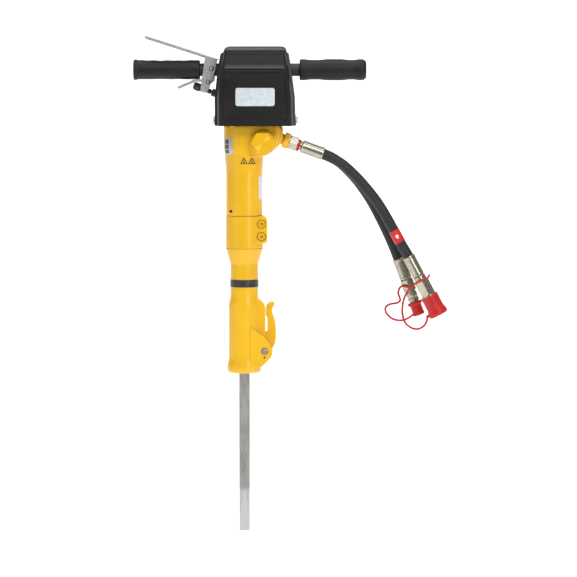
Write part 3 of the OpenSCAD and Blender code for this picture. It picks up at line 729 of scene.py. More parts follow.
latch_x, latch_z = 43, 385.4
fin = [(5, 498), (24, 498), (33, 494), (40, 487), (43.5, 480), (44.7, 474), (44.7, 395), (5, 395)]
cheek = [(12, 438), (45, 412), (57, 394), (60.2, 385), (59.5, 377), (56, 371), (37, 352), (33, 349.5),
    (12, 350)]
head_profile = [(0, 337), (28, 337), (33.4, 338.4), (36.2, 342), (36.5, 352), (35.6, 358), (33.7, 366),
    (33.5, 400),
    (33.5, 478), (33, 486), (31, 493), (29.8, 499), (29.7, 505), (29.7, 569.5), (30.6, 572), (37.8, 596),
    (39.4, 600),
    (39.7, 602), (29.8, 602), (29.8, 640), (0, 640)]
front_head = cast("front_head_casting",
    [part_from((turned, filleted(head_profile, 1.8), Matrix(), 128)),
        part_from((slab, outline_of(fin, 4), -18, 18, 2.2)),
        part_from((slab, outline_of(cheek, 4), -34, 34, 4.2))],
    [part_from((turned, [(0, 330), (24.05, 330), (24.05, 516), (15, 516), (15, 575), (22, 575), (22, 605),
        (24, 605), (24, 650), (0, 650)], Matrix(), 96)),
        part_from((slab, [(10, 403), (10, 430), (72, 430), (72, 345), (30, 372), (26, 385)], -8.7, 8.7)),
        part_from((turned, [(0, -40), (7.7, -40), (7.7, 40), (0, 40)], across(latch_x, latch_z, 0), 64)),
        part_from((turned, [(0, 14), (2, 14), (2, 40), (0, 40)], facing(latch_x, latch_z - 13, 0), 32))],
    0.95, 3, yellow_paint, "hammer")
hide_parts("front_head")


# ---------------------------------------------------------------- retainer latch
# Forged lever in the same yellow that swings out on a hollow cross pin; its nose sits under the
# chisel's collar. The pin is zinc plated and locked by a small roll pin below it.
lever = [(15.5, 410), (15.5, 418.4), (21, 423.9), (30, 426), (48.7, 424), (48.7, 455), (45.6, 459),
    (45.6, 478),
    (48, 483.5), (52, 487), (57, 489), (61.5, 488.6), (64, 485), (63.5, 480.5), (60, 475.5), (58.8, 470),
    (60, 463),
    (64, 452), (66.3, 441), (67, 430), (67, 411), (65.5, 401), (61, 391.5), (53, 380), (46, 375.9),
    (40, 375.9),
    (34, 381)]
retainer_latch = cast("retainer_latch_lever", [part_from((slab, outline_of(lever, 3), -8, 8, 2.6))],
    [part_from((turned, [(0, -20), (7.55, -20), (7.55, 20), (0, 20)], across(latch_x, latch_z, 0), 64))],
    0.6, 4, yellow_paint, "retainer_latch")
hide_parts("retainer_latch")

bright_zinc, shader = blank_material("bright_zinc_plate")
spangle = noise(bright_zinc, 220, 2)
rub = noise(bright_zinc, 1100, 2, (1, 1, 0.3))
finish(shader, bright_zinc, ramp(bright_zinc, spangle, [(0.3, (0.36, 0.37, 0.36)),
    (0.7, (0.48, 0.48, 0.46))]),
    ramp(bright_zinc, rub, [(0.2, 0.26), (0.8, 0.44)]), bump(bright_zinc, rub, 0.1, 0.0002), Metallic=1.0)
black_oxide = grained_material("black_oxide", (160, 4), 0.012, 0.032, (0.34, 0.55),
    (0.15, 0.0003), Metallic=0.6)

bm = bmesh.new()
turned(bm, filleted([(3, -32), (6.2, -32), (7.45, -31), (7.45, 31), (6.2, 32), (3, 32)], 0.6),
    across(latch_x, latch_z, 0), 72)
latch_pin = new_piece("latch_cross_pin", bm, bright_zinc, "hammer")
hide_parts("latch_pin")


# ---------------------------------------------------------------- neck band
# Black vinyl band wrapped once round the neck over the paint and left blank. Its lapped end
# stands a little proud at the back.
band_vinyl = grained_material("band_vinyl", (240, 3), (0.020, 0.021, 0.024), (0.034, 0.036, 0.042),
    (0.24, 0.36), (0.06, 0.0002))
bm = bmesh.new()
turned(bm, filleted([(29.6, 520), (30.1, 520), (30.2, 520.6), (30.2, 535.4), (30.1, 536), (29.6, 536)],
    0.2), Matrix(),
    128, lambda a, r, z: r + (0.25 if r > 30 and 2.2 < a < 2.5 else 0))
name_band = new_piece("neck_band", bm, band_vinyl, "hammer")
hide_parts("name_band")


# ---------------------------------------------------------------- clamp collar
# Split steel collar that clamps the cylinder joint, cast, pulled tight by two socket-head screws
# in counterbores in its lug, and painted together with them.
screw_x = 36.3
screw_zs = (627.5, 654)
lug = [(15, 613), (45, 613), (49, 618), (49, 660), (47, 667), (41, 671), (15, 671)]
clamp_collar = cast("clamp_collar_casting",
    [part_from((turned, filleted([(0, 602), (38.9, 602), (39.7, 603), (39.7, 669.6), (38.9, 670.8),
    (0, 670.8)], 0.8),
        Matrix(), 128)),
        part_from((slab, outline_of(lug, 6), -26, 26, 2.0))],
    [part_from((turned, [(0, 590), (29.8, 590), (29.8, 680), (0, 680)], Matrix(), 96)),
        part_from((slab, [(20, 595), (20, 680), (60, 680), (60, 595)], -1.5, 1.5)),
        *[part_from((turned, [(0, -30), (5.1, -30), (5.1, 18), (9.3, 18), (9.3, 45), (0, 45)],
            facing(screw_x, z, 0), 64)) for z in screw_zs]],
    0.8, 3, yellow_paint, "hammer")
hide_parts("clamp_collar")


def socket_head(bm, matrix, head_r, head_h, socket_af, shank_r, shank_len):
    """Socket-head screw with a knurled head; +Z of the frame points out of the head."""
    def shape(a, r, z):
        if r < head_r * 0.6 and z > head_h * 0.3:
            within = (a + math.pi / 6) % (math.pi / 3) - math.pi / 6
            return min(r, socket_af / 2 / math.cos(within))
        if r > head_r - 0.1 and 0.6 < z < head_h - 1.2:
            return r - 0.15 * (1 + math.cos(48 * a)) / 2
        return r
    socket_r = socket_af * 0.577
    turned(bm, [(0, -shank_len), (shank_r - 0.6, -shank_len), (shank_r, 0.6 - shank_len), (shank_r, 0),
        (head_r, 0), (head_r, 0.7), (head_r, head_h - 1.3), (head_r - 0.2, head_h - 0.4),
        (head_r - 0.8, head_h), (socket_r + 0.4, head_h), (socket_r, head_h - 0.4),
        (socket_r, head_h * 0.45), (0, head_h * 0.4)],
        matrix, 192, shape)


bm = bmesh.new()
for z in screw_zs:
    socket_head(bm, facing(screw_x, z, -18), 8, 8, 8, 5, 40)
clamp_screws = new_piece("clamp_socket_screws", bm, yellow_paint, "hammer", 30)
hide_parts("clamp_screws")


# ---------------------------------------------------------------- backhead and valve block
# One casting holds the cylinder, the valve block on the hose side and the round boss for the
# valve plug. It is machined inside and painted with the head and collar.
plug_x, plug_z = 39, 826
plug_af = 42.4
adapter_af = 32
spool_z = 882
barrel = [(0, 641), (29.7, 641), (29.7, 671.2), (37.9, 671.2), (38.7, 672.4), (38.7, 760), (39.3, 772),
    (40.4, 785),
    (42, 803), (43.2, 812), (43.5, 820), (43.5, 862), (0, 862)]
block = [(0, 796), (40, 796), (58, 806), (72, 818), (79, 830), (82, 842), (82, 862), (0, 862)]
rib = [(63, 822), (66, 816), (71, 820), (72, 861.5), (63, 861.5)]
backhead = cast("backhead_casting",
    [part_from((turned, filleted(barrel, 3), Matrix(), 144)),
        part_from((slab, outline_of(block, 9), -42, 42, 7)),
        part_from((turned, filleted([(0, 0), (28, 0), (27.6, 44), (26.6, 48), (24, 50.2), (0, 50.2)], 1.5),
            facing(plug_x, plug_z, 0), 96)),
        part_from((slab, outline_of(rib, 1.5), -44.5, 0, 2.2)),
        part_from((slab, [(-29, 861), (62, 861), (62, 898), (-29, 898)], -38, 38, 1.5))],
    [part_from((turned, [(0, 630), (24, 630), (24, 765), (18.05, 765), (18.05, 812), (13, 812), (13, 820),
    (0, 820)],
        Matrix(), 96)),
        part_from((turned, [(0, -10), (7.05, -10), (7.05, 52), (0, 52)],
            Matrix.Translation(Vector((-30, 0, spool_z)) * MM) @ Matrix.Rotation(math.radians(90), 4, "Y"),
            48)),
        part_from((turned, [(0, 14), (14, 14), (14, 60), (0, 60)], facing(plug_x, plug_z, 0), 64)),
        part_from((turned, [(0, 20), (3, 20), (3, 45), (0, 45)], facing(-28, 681, 0), 32)),
        *[part_from((turned, [(0, -14), (11, -14), (11, 16), (0, 16)],
        on_slope(adapter_at, y, adapter_slope), 48))
            for y in (-hose_y, hose_y)]],
    1.15, 6, yellow_paint, "hammer")
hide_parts("backhead")

bm = bmesh.new()
plug_face = facing(plug_x, plug_z, 0)
turned(bm, [(0, 16), (13, 16), (13.4, 17), (13.4, 52), (20.6, 52), (21.4, 52.2), (24.25, 53.6), (24.25, 62.8),
    (23.4, 64), (21, 64), (19, 64), (17, 64), (0, 64)], plug_face, 192,
    lambda a, r, z: hexagonal(plug_af, 0.97)(a + math.pi / 6, r, z) if z > 51 else r)
valve_plug = new_piece("hexagon_valve_plug", bm, yellow_paint, "hammer", 18)
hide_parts("valve_plug")

bm = bmesh.new()
for y in (-hose_y, hose_y):
    turned(bm, [(0, -13.8), (10.9, -13.8), (10.9, 0), *hex_profile(adapter_af, 12)[1:]],
        on_slope(adapter_at, y, adapter_slope), 144,
        lambda a, r, z: hexagonal(adapter_af)(a, r, z) if z > 0.05 else r)
hose_adapters = new_piece("hose_adapters_pair", bm, yellow_paint, "hammer", 25)
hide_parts("hose_adapters")


# ---------------------------------------------------------------- labels on the cylinder
# An aluminium data plate with three dark blocks of print is riveted to the shoulder. A white
# vinyl label sits lower down, with two small warning triangles between. None carries any text.
shoulder_r = 42


def barrel_radius(z):
    """Outer radius of the cylinder casting at height z."""
    for (r0, z0), (r1, z1) in zip(barrel[4:], barrel[5:]):
        if z0 <= z <= z1:
            return r0 + (r1 - r0) * (z - z0) / (z1 - z0)
    return 43.5


def wrapped(bm, angle0, angle1, z0, z1, lift, thick, corner, steps=24):
    """Thin plate with rounded corners that follows the cylinder; angles in degrees."""
    arc = math.radians(angle1 - angle0) * shoulder_r / 2
    half = (z1 - z0) / 2
    grid = []
    for j in range(13):
        v = j / 12 * 2 - 1
        tall = half * v
        inset = 0
        if abs(tall) > half - corner:
            inset = corner - math.sqrt(max(0, corner**2 - (abs(tall) - half + corner) ** 2))
        rows = []
        for k in range(steps + 1):
            u = (k / steps * 2 - 1) * (arc - inset)
            a = math.radians((angle0 + angle1) / 2) + u / shoulder_r
            z = (z0 + z1) / 2 + tall
            r = barrel_radius(z) + lift
            rows.append(((r * math.cos(a), r * math.sin(a), z),
                ((r + thick) * math.cos(a), (r + thick) * math.sin(a), z)))
        grid.append([pair[0] for pair in rows] + [pair[1] for pair in reversed(rows)])
    skin(bm, grid, Matrix())


plate_metal = grained_material("plate_aluminium", (900, 2, (1, 1, 0.05)), (0.50, 0.48, 0.46),
    (0.62, 0.60, 0.57), (0.3, 0.46), (0.08, 0.0002), Metallic=0.9)
plate_ink = grained_material("plate_dark_print", (500, 3), (0.055, 0.058, 0.062), (0.10, 0.105, 0.11),
    (0.34, 0.48), Metallic=0.3)
label_vinyl = grained_material("label_vinyl", (300,), (0.62, 0.60, 0.64), (0.70, 0.68, 0.71), (0.28, 0.4))

bm = bmesh.new()
wrapped(bm, -162, -123, 799, 837, 0.05, 0.45, 3)
for angle, z in ((-159.5, 802), (-159.5, 834), (-125.5, 802), (-125.5, 834)):
    a = math.radians(angle)
    r = barrel_radius(z) + 0.4
    turned(bm, filleted([(0, 0), (1.2, 0), (1.2, 0.4), (0.7, 0.75), (0, 0.8)], 0.2), Matrix.Translation(
        Vector((r * math.cos(a), r * math.sin(a), z)) * MM) @ Matrix.Rotation(a, 4, "Z")
        @ Matrix.Rotation(math.radians(90), 4, "Y"), 20)
data_plate = new_piece("data_plate_sheet", bm, plate_metal, "hammer")
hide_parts("data_plate")
bm = bmesh.new()
for low, high in ((803.5, 811.5), (813, 822), (823.5, 832.5)):
    wrapped(bm, -157, -138, low, high, 0.5, 0.08, 0.5)
plate_print = new_piece("data_plate_print", bm, plate_ink, "hammer")

bm = bmesh.new()
wrapped(bm, -38, 6, 706, 755, 0.02, 0.18, 3)
side_label = new_piece("side_label", bm, label_vinyl, "hammer")
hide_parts("side_plate")

bm = bmesh.new()
for middle in (-0.4, 16.2):
    for (x0, z0), (x1, z1) in (((-7, 782), (7, 782)), ((7, 782), (0, 794.6)), ((0, 794.6), (-7, 782)),
            ((-2.2, 785), (2.2, 785)), ((-1.2, 787.6), (1.2, 787.6)), ((-0.4, 790), (0.4, 790))):
        strip = []
        for k in range(9):
            t = k / 8
            x, z = middle + x0 + (x1 - x0) * t, z0 + (z1 - z0) * t
            side = Vector((-(z1 - z0), x1 - x0)).normalized() * 0.85
            quad = []
            for s, lift in ((1, 0.03), (1, 0.14), (-1, 0.14), (-1, 0.03)):
                px, pz = x + side.x * s, z + side.y * s
                r = barrel_radius(pz) + lift
                quad.append((px, -math.sqrt(r * r - px * px), pz))
            strip.append(quad)
        skin(bm, strip, Matrix())
warning_print = new_piece("warning_triangles", bm, black_oxide, "hammer")


# ---------------------------------------------------------------- working parts inside
# Turned and ground steel, bronze bushings, oil-black springs and rubber seals sit inside the
# castings and under the hood, so they keep their plain machined shapes.
machined_steel = grained_material("machined_steel", (1500, 2, (0.05, 0.05, 1)), (0.46, 0.46, 0.46),
    (0.58, 0.58, 0.57), (0.22, 0.36), (0.1, 0.0002), Metallic=1.0)
bronze = grained_material("bushing_bronze", (130, 4), (0.46, 0.27, 0.10), (0.60, 0.38, 0.16), (0.26, 0.42),
    (0.08, 0.0003), Metallic=1.0)
spring_steel = grained_material("spring_steel", (800, 2), (0.06, 0.06, 0.062), (0.13, 0.13, 0.13),
    (0.3, 0.44), Metallic=0.8)
seal_rubber = grained_material("seal_rubber", (210, 4), 0.011, 0.026, (0.5, 0.7), (0.15, 0.0003))


def repaint(material, *names):
    """Gives CAD nodes that stay as they are a material."""
    for name in names:
        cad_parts[name].data.materials.clear()
        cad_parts[name].data.materials.append(material)


repaint(machined_steel, "piston", "lower_tool_sleeve", "cylinder_liner", "distributor_valve",
    "start_spool", "relief_poppet", "guide_posts")
repaint(bronze, "tool_bushing", "piston_guide")
repaint(spring_steel, "spool_spring", "relief_spring", "suspension_springs")
repaint(seal_rubber, "piston_seals", "plug_seal", "accumulator_diaphragm")
repaint(bright_zinc, "post_nuts", "charging_plug")
repaint(yellow_paint, "accumulator_cap")
repaint(black_oxide, "latch_roll_pin", "grub_screw", "suspension_bridge", "accumulator_housing")


# ---------------------------------------------------------------- handle frame and tube
# Welded steel frame under the hood and one thick-walled tube through it, both in a coarse black
# powder coat that is still rough to the touch between the grips and the hood.
powder_black, shader = blank_material("black_powder_coat")
grit = noise(powder_black, 520, 4, (1, 1, 1), 0.7)
dusty = noise(powder_black, 25, 3)
finish(shader, powder_black, ramp(powder_black, dusty, [(0.3, 0.007), (0.75, 0.015)]),
    ramp(powder_black, grit, [(0.2, 0.42), (0.8, 0.62)]), bump(powder_black, grit, 0.5, 0.0006))
repaint(powder_black, "handle_frame", "handle_tube")


# ---------------------------------------------------------------- grips
# Moulded black rubber pushed on to the tube ends. The left one is plain with finger waves under
# it and a thick end flange; the right one is fatter and swells in the middle and at its end.
grip_z = 979
grip_rubber, shader = blank_material("grip_rubber")
pebble = noise(grip_rubber, 620, 3, (1, 1, 1), 0.6)
handled = noise(grip_rubber, 22, 4)
finish(shader, grip_rubber, ramp(grip_rubber, handled, [(0.3, (0.004, 0.004, 0.0045)),
    (0.75, (0.009, 0.009, 0.0097))]),
    ramp(grip_rubber, handled, [(0.2, 0.44), (0.8, 0.6)]), bump(grip_rubber, pebble, 0.35, 0.0005),
    Specular_IOR_Level=0.27)


def finger_waves(a, r, z):
    """Shallow waves along the underside; the angle is measured from straight up or down."""
    under = max(0, math.cos(a)) ** 2
    runout = max(0, min(1, (z - 12) / 10, (126 - z) / 10))
    return r - 0.75 * under * runout * (1 + math.sin(z / 4.1)) / 2


bm = bmesh.new()
left_frame = Matrix.Translation(Vector((-93.3, 0, grip_z)) * MM) @ Matrix.Rotation(math.radians(-90), 4, "Y")
left_profile = filleted([(0, 134.9), (13.55, 134.9), (13.55, 0), (18.6, 0), (20.3, 1.6), (20.5, 30),
    (19.8, 45), (20.5, 60), (19.8, 80), (20.4, 100), (20.5, 131), (21.8, 134), (21.9, 138), (20.5, 140.2),
    (17, 140.7),
    (0, 140.7)], 1.5)
dense = []
for p, q in zip(left_profile, left_profile[1:]):
    pieces_along = max(1, int(abs(q[1] - p[1]) / 1.5)) if p[0] > 15 else 1
    dense += [(p[0] + (q[0] - p[0]) * k / pieces_along, p[1] + (q[1] - p[1]) * k / pieces_along)
        for k in range(pieces_along)]
turned(bm, [*dense, tuple(left_profile[-1])], left_frame, 96,
    lambda a, r, z: finger_waves(a, r, z) if r > 15 else r)
left_grip = new_piece("left_rubber_grip", bm, grip_rubber, "handle", 40)
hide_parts("left_grip")

bm = bmesh.new()
right_frame = Matrix.Translation(Vector((116.8, 0, grip_z)) * MM) @ Matrix.Rotation(math.radians(90), 4, "Y")
turned(bm, filleted([(0, 135.3), (13.55, 135.3), (13.55, 0), (20.6, 0), (22.4, 1.8), (22.5, 10), (21.3, 18),
    (20.75, 26), (20.75, 42), (21.6, 50), (22.5, 57), (22.5, 89), (21.6, 97), (20.75, 104), (20.75, 116),
    (21.8, 122), (22.5, 127), (22.3, 134), (19.5, 139), (16, 141),
    (0, 141)], 3), right_frame, 96)
right_grip = new_piece("right_rubber_grip", bm, grip_rubber, "handle", 45)
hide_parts("right_grip")


# ---------------------------------------------------------------- hood
# Black plastic hood about 4 mm thick over the valve block and suspension. Its front has a
# recessed lower panel, a groove below the upper panel and bevelled corners; a raised pad down
# each side carries the bolts.
bolt_y, bolt_z = 34, 873
rod_hole_z = 930
pad_out = 6
pad_half = 46
corner_x, corner_y = 6.8, 10.5
hood_levels = [(862, -61.3, 108.5, 72), (922, -61.7, 107, 72), (984, -55, 99, 68), (1014, -49, 94, 62),
    (1016, -49.4, 95.6, 61.5), (1020, -48.8, 95.6, 60.8), (1023.6, -47.2, 94.2, 57.5),
    (1026.2, -44.6, 91.6, 54.3),
    (1027.9, -40.4, 87.4, 50.4), (1028.4, -35.6, 82.4, 46)]


def hood_size(z):
    """Left, right and half depth of the hood, pads included, at height z."""
    for low, high in zip(hood_levels, hood_levels[1:]):
        if z <= high[0]:
            t = (z - low[0]) / (high[0] - low[0])
            return [low[k] + (high[k] - low[k]) * t for k in (1, 2, 3)]
    return hood_levels[-1][1:]


def fade(value, start, end):
    """0 before start, 1 after end, straight in between."""
    return max(0, min(1, (value - start) / (end - start)))


def front_depth(edge, z):
    """How far the front sinks in, at a distance edge from the bevelled corner."""
    panel = fade(z, 876.4, 877.4) * (1 - fade(z, 974.2, 975.2)) * fade(edge, 4.2, 5.2)
    border = fade(z, 873.6, 874.4) * (1 - fade(z, 977, 978)) * fade(edge, 2.2, 3) * (1 - panel)
    groove = fade(z, 977, 977.6) * (1 - fade(z, 979.4, 980.2)) * fade(edge, 1.5, 2.5)
    lip = fade(z, 980.2, 981) * (1 - fade(z, 982.4, 984)) * fade(edge, 1.5, 3)
    top_line = fade(z, 1011.6, 1012.1) * (1 - fade(z, 1013, 1013.6))
    cap_line = fade(z, 1018.4, 1019) * (1 - fade(z, 1019.8, 1020.4))
    return 1.4 * panel - 1.1 * border + 2.4 * groove - 0.9 * lip + 1.3 * top_line + 1.1 * cap_line


def hood_ring(z, shrink=0):
    left, right, half = hood_size(z)
    left, right, half = left + pad_out + shrink, right - pad_out - shrink, half - shrink
    pad = (pad_out + (shrink and -1)) * (1 - fade(z, 1013.4, 1016.4)) * (0 if shrink else 1)
    front_left, front_right = left + corner_x, right - corner_x
    width = front_right - front_left
    edges = [0, 1.5, 2.2, 2.5, 3, 4.2, 5.2, 9]
    stops = edges + [9 + (width - 18) * k / 12 for k in range(1, 12)] + [width - e for e in reversed(edges)]
    ring = []
    for s in stops:
        sink = 0 if shrink else front_depth(min(s, width - s), z)
        ring.append((front_left + s, -half + sink))
    side = -half + corner_y
    ring += [(right - corner_x * 0.72, -half + 1.2), (right - corner_x * 0.36, -half + 4.6),
        (right - 0.4, side - 1),
        (right, side + 1), (right, -pad_half - 0.6), (right + pad * 0.2, -pad_half),
        (right + pad * 0.85, -pad_half + 1),
        (right + pad, -pad_half + 2.2), (right + pad, -16), (right + pad, 16), (right + pad, pad_half - 2.2),
        (right + pad * 0.85, pad_half - 1), (right + pad * 0.2, pad_half), (right, pad_half + 0.6),
        (right, -side - 1),
        (right - 0.4, 1 - side), (right - corner_x * 0.36, half - 4.6), (right - corner_x * 0.72, half - 1.2)]
    ring += [(front_right - s, half) for s in stops]
    ring += [(left + corner_x * 0.72, half - 1.2), (left + corner_x * 0.36, half - 4.6),
        (left + 0.4, 1 - side),
        (left, -side - 1), (left, pad_half + 0.6), (left - pad * 0.2, pad_half),
        (left - pad * 0.85, pad_half - 1),
        (left - pad, pad_half - 2.2), (left - pad, 16), (left - pad, -16), (left - pad, -pad_half + 2.2),
        (left - pad * 0.85, -pad_half + 1), (left - pad * 0.2, -pad_half), (left, -pad_half - 0.6),
        (left, side + 1),
        (left + 0.4, side - 1), (left + corner_x * 0.36, -half + 4.6), (left + corner_x * 0.72, -half + 1.2)]
    return [(x, y, z) for x, y in ring]


hood_plastic, shader = blank_material("hood_plastic")
leather = noise(hood_plastic, 900, 3, (1, 1, 1), 0.6)
haze = noise(hood_plastic, 9, 3)
hood_black = ramp(hood_plastic, haze, [(0.3, (0.0085, 0.0085, 0.009)), (0.7, (0.0145, 0.014, 0.0135))])
# Sharp edges and bevels are painted a lighter grey: a painted highlight along the hood's corners and grooves.
finish(shader, hood_plastic, mixed(hood_plastic, edge_wear_and_highlight(hood_plastic, 0.53, 0.62), hood_black,
    (0.045, 0.045, 0.044)),
    ramp(hood_plastic, haze, [(0.2, 0.28), (0.8, 0.38)]), bump(hood_plastic, leather, 0.12, 0.0003),
    Specular_IOR_Level=0.38)

zs = [862, 862.6, 868, 873.6, 874.4, 876.4, 877.4, 890, 905, 922, 938, 955, 968, 974.2, 975.2, 977, 977.6,
    979.4, 980.2,
    981, 982.4, 984, 992, 1002, 1011.6, 1012.1, 1013, 1013.6, 1014.4, 1016.4, 1017.2, 1018.4, 1019, 1019.8,
    1020.4, 1021.8,
    1023.6, 1025, 1026.2, 1027.2, 1027.9, 1028.4]
shell_bm, hollow_bm = bmesh.new(), bmesh.new()
skin(shell_bm, [hood_ring(z) for z in zs], Matrix())
skin(hollow_bm, [[(x, y, 850) for x, y, z in hood_ring(862, 4)],
    *[hood_ring(z, 4) for z in (863, 922, 984, 1013, 1020.5)],
    [(x * 0.94 + 1.4, y * 0.94, 1024.6) for x, y, z in hood_ring(1023.6, 4)]], Matrix())
along_x = Matrix.Rotation(math.radians(90), 4, "Y")
cuts = [helper_object(hollow_bm), helper_object(part_from((turned, [(0, -90), (14, -90), (14, 140), (0, 140)],
    Matrix.Translation((0, 0, grip_z * MM)) @ along_x, 64))),
    helper_object(part_from((turned, [(0, -80), (9.2, -80), (9.2, -40), (0, -40)],
        Matrix.Translation((0, 0, rod_hole_z * MM)) @ along_x, 48))),
    helper_object(part_from((slab, outline_of([(-75, 940), (-75, 976), (-50, 976), (-50, 940)], 2), -18,
    -8)))]
for y in (-bolt_y, bolt_y):
    cuts.append(helper_object(part_from((turned, [(0, -80), (4.2, -80), (4.2, 130), (0, 130)],
        Matrix.Translation((0, y * MM, bolt_z * MM)) @ along_x, 32))))
hood = new_piece("hood_shell", shell_bm, hood_plastic, "handle")
machined(hood, cuts)
hood.data.materials.clear()
hood.data.materials.append(hood_plastic)
hood.data.shade_smooth()
hood.data.set_sharp_from_angle(angle=math.radians(24))
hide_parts("hood")

badge_white = grained_material("badge_plate", (160,), (0.50, 0.56, 0.60), (0.58, 0.63, 0.66), (0.22, 0.34),
    (0.04, 0.0003), Coat_Weight=0.3)
bm = bmesh.new()
slab(bm, outline_of([(-17.5, 904), (64.5, 904), (64.5, 942), (-17.5, 942)], 5), -72.9, -69.6, 0.6)
hood_badge = new_piece("plain_hood_badge", bm, badge_white, "handle")
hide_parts("hood_badge")


# ---------------------------------------------------------------- hood bolts
# Four zinc plated hexagon bolts with plain washers hold the hood to the frame, two through the
# raised pad on each side.
bm = bmesh.new()
washer_bm = bmesh.new()
for y in (-bolt_y, bolt_y):
    for x, turn in ((-62.9, -90), (109.9, 90)):
        spot = Matrix.Translation(Vector((x, y, bolt_z)) * MM) @ Matrix.Rotation(math.radians(turn), 4, "Y")
        turned(bm, [(0, -17), (3.6, -17), (4, -16.4), (4, -0.02), (6.2, 0),
            *hex_profile(12.2, 3.5, 0.7)[2:]], spot, 96,
            lambda a, r, z: hexagonal(12.2)(a, r, z) if z > 0 else r)
        turned(washer_bm, filleted([(4.3, -1.45), (9.8, -1.45), (10, -1.2), (10, -0.3), (9.8, -0.05),
            (4.3, -0.05)], 0.2),
            spot, 64)
hood_bolts = new_piece("hood_hexagon_bolts", bm, bright_zinc, "handle", 25)
hood_washers = new_piece("hood_plain_washers", washer_bm, bright_zinc, "handle", 30)
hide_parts("hood_bolts")
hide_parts("hood_washers")


# ---------------------------------------------------------------- trigger lever
# Galvanised sheet steel folded into a channel round the handle tube, with a long arm over the
# left grip. It turns on a pin through the tube; a rivet below it carries the safety latch.
trigger_pin_at = (-68.9, 981.8)
latch_rivet_at = (-76.1, 954)
web_at = (-88, 939)
arm_slope = math.radians(17.8)
arm_top = Vector((-53.2, 1001.7))
arm_run = Vector((-math.cos(arm_slope), math.sin(arm_slope)))
arm_down = Vector((-math.sin(arm_slope), -math.cos(arm_slope)))


def on_arm(along, below):
    return tuple(arm_top + arm_run * along + arm_down * below)


galvanised, shader = blank_material("galvanised_sheet")
spangles = add_node(galvanised, "ShaderNodeTexVoronoi", Scale=240)
galvanised.node_tree.links.new(place_of(galvanised), spangles.inputs["Vector"])
smear = noise(galvanised, 60, 4, (1, 1, 0.4))
crystal = ramp(galvanised, spangles.outputs["Distance"], [(0.1, (0.38, 0.39, 0.385)),
    (0.7, (0.52, 0.53, 0.52))])
finish(shader, galvanised, mixed(galvanised, ramp(galvanised, smear, [(0.4, 0), (0.8, 0.3)]), crystal,
    (0.27, 0.28, 0.28)), ramp(galvanised, smear, [(0.2, 0.34), (0.8, 0.52)]),
    bump(galvanised, smear, 0.1, 0.0004), Metallic=0.85)

cheek_shape = [(-57, 1001), (-58.5, 992), (-61, 978), (-67, 959), (-77.4, 931), (-92.9, 933.5), (-88, 968),
    (-84.5, 992),
    (-82, 1008.5)]
web_frame = on_slope(web_at, 0, 27.5)
web = bmesh.new()
bmesh.ops.create_cube(web, size=1, matrix=web_frame @ Matrix.Diagonal((15 * MM, 29.7 * MM, 2.4 * MM, 1)))
trigger_lever = cast("trigger_lever_sheet",
    [part_from((slab, outline_of(cheek_shape, 3), -17.1, -14.6, 0.3)),
        part_from((slab, outline_of(cheek_shape, 3), 14.6, 17.1, 0.3)),
        part_from((slab, [on_arm(0.5, 0), on_arm(43, 0), on_arm(44, 2.7), on_arm(0.5, 2.7)], -17, 17, 1.2)),
        part_from((slab, [on_arm(38, 0), on_arm(162, 0), on_arm(163, 1), on_arm(162.5, 2.7), on_arm(38, 2.7)],
            -12.5, 12.5, 0.8)),
        *[part_from((slab, outline_of([on_arm(27, 0.3), on_arm(163, 0.3), on_arm(163, 5), on_arm(160, 7),
        on_arm(29, 7)],
            1.5), y, y + 2.5, 0.3)) for y in (-12.5, 10)],
        web],
    [part_from((turned, [(0, -30), (4.1, -30), (4.1, 30), (0, 30)], across(*trigger_pin_at, 0), 48)),
        part_from((turned, [(0, -4), (6.4, -4), (6.4, 4), (0, 4)], web_frame, 48))],
    0.55, 5, galvanised, "trigger")
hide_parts("trigger_lever")

bm, clip_bm = bmesh.new(), bmesh.new()
turned(bm, filleted([(0, -19.8), (2.2, -19.8), (2.8, -20), (3.9, -19.4), (3.9, 19.4), (2.8, 20),
    (2.2, 19.8), (0, 19.8)], 0.3),
    across(*trigger_pin_at, 0), 48)
trigger_pin = new_piece("trigger_pivot_pin", bm, bright_zinc, "handle")
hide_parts("trigger_pin")
for y in (-18.1, 18.1):
    turned(clip_bm, filleted([(2.6, -0.5), (5.2, -0.5), (5.4, 0), (5.2, 0.5), (2.6, 0.5)], 0.2),
        across(*trigger_pin_at, y), 48)
trigger_clips = new_piece("trigger_pin_clips", clip_bm, black_oxide, "handle")
bm = bmesh.new()
turned(bm, filleted([(0, -18.6), (1.8, -18.6), (3.4, -17.7), (3.5, -17), (3.5, 17), (3.4, 17.7),
    (1.8, 18.6), (0, 18.6)], 0.3),
    across(*latch_rivet_at, 0), 48)
latch_rivet = new_piece("safety_latch_rivet", bm, bright_zinc, "trigger")
bm = bmesh.new()
for y in (-17.5, 17.5):
    turned(bm, filleted([(2.5, -0.35), (4.5, -0.35), (4.7, 0), (4.5, 0.35), (2.5, 0.35)], 0.15),
        across(*latch_rivet_at, y), 48)
rivet_rings = new_piece("rivet_washers", bm, black_oxide, "trigger")


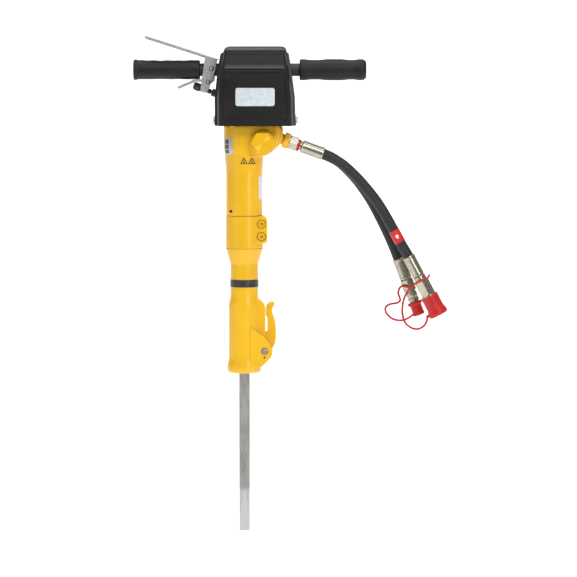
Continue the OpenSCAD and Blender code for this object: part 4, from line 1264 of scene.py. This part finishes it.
# ---------------------------------------------------------------- safety latch
# Small pressed lever on the rivet between the cheeks. A narrow neck passes beside the rod's knob
# to a wide finger tab below the grip; at the other end a hook goes through a slot in the hood.
latch_arm = [(-69, 950), (-62, 956), (-61, 968), (-66, 966), (-76, 959), (-92, 959.5), (-110, 958),
    (-113, 955),
    (-112, 952.4), (-92, 954), (-80, 949)]
latch_neck = [(-100, 952.4), (-113, 949), (-117, 947.6), (-117, 954), (-111, 956.4), (-100, 957.5)]
latch_finger = [(-114, 948.6), (-126, 943.5), (-137.5, 938.6), (-141, 940.2), (-140.6, 943.4),
    (-126, 950.2), (-114, 955.2)]
safety_latch = cast("safety_latch_lever",
    [part_from((slab, outline_of(latch_arm, 1.5), -14.3, -11.9, 0.3)),
        part_from((slab, outline_of(latch_neck, 0.9), -14.2, -9.4, 0.5)),
        part_from((slab, outline_of(latch_finger, 0.9), -14.2, 9, 0.5))],
    [part_from((turned, [(0, -20), (3.6, -20), (3.6, 0), (0, 0)], across(*latch_rivet_at, 0), 48))],
    0.42, 2, galvanised, "safety_latch")
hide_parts("safety_latch")


# ---------------------------------------------------------------- push rod
# Zinc plated rod that starts the valve, with a ribbed black rubber knob under the lever's web, a
# ribbed rubber sleeve round its middle and a hollow rubber boot where it enters the hood.
rod_frame = on_slope(web_at, 0, 20)
bm = bmesh.new()
turned(bm, filleted([(0, -12), (3.9, -12), (4, -2.6), (4, 2.6), (7.8, 2.6), (8, 3), (8, 7.2), (7.8, 7.6),
    (4, 7.6), (4, 37), (3.4, 40), (2, 42),
    (0, 42.8)], 0.4), rod_frame, 48)
push_rod = new_piece("start_push_rod", bm, bright_zinc, "push_rod")
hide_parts("push_rod")
bm = bmesh.new()
turned(bm, filleted([(0, -20.5), (5, -20.5), (8.1, -16.7), (8.5, -15.5), (8.5, -7.6), (7, -2.7), (4, -2.6),
    (0, -2.6)], 0.8),
    rod_frame, 120, lambda a, r, z: r - (0.45 * (1 + math.cos(20 * a)) / 2 if r > 6 and z < -3 else 0))
rod_knob = new_piece("push_rod_knob", bm, seal_rubber, "push_rod", 30)
bm = bmesh.new()
turned(bm, filleted([(4.1, 7.8), (5.4, 7.8), (5.5, 9.5), (4.8, 10.6), (5.5, 11.7), (4.8, 12.8), (5.5, 13.9),
    (4.8, 15), (5.5, 16.1), (4.8, 17.2), (5.5, 18.3),
    (4.1, 20)], 0.4), rod_frame, 64)
rod_sleeve = new_piece("push_rod_sleeve", bm, seal_rubber, "push_rod")
bm = bmesh.new()
turned(bm, filleted([(5.9, 20.6), (7.2, 20.6), (8.7, 22.5), (7.3, 24.5), (8.7, 26.5), (7.3, 28.5),
    (8.7, 30.5), (8.7, 35),
    (5.9, 35)], 0.9), rod_frame, 64)
rod_boot = new_piece("push_rod_boot", bm, seal_rubber, "handle")
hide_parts("rod_boot")
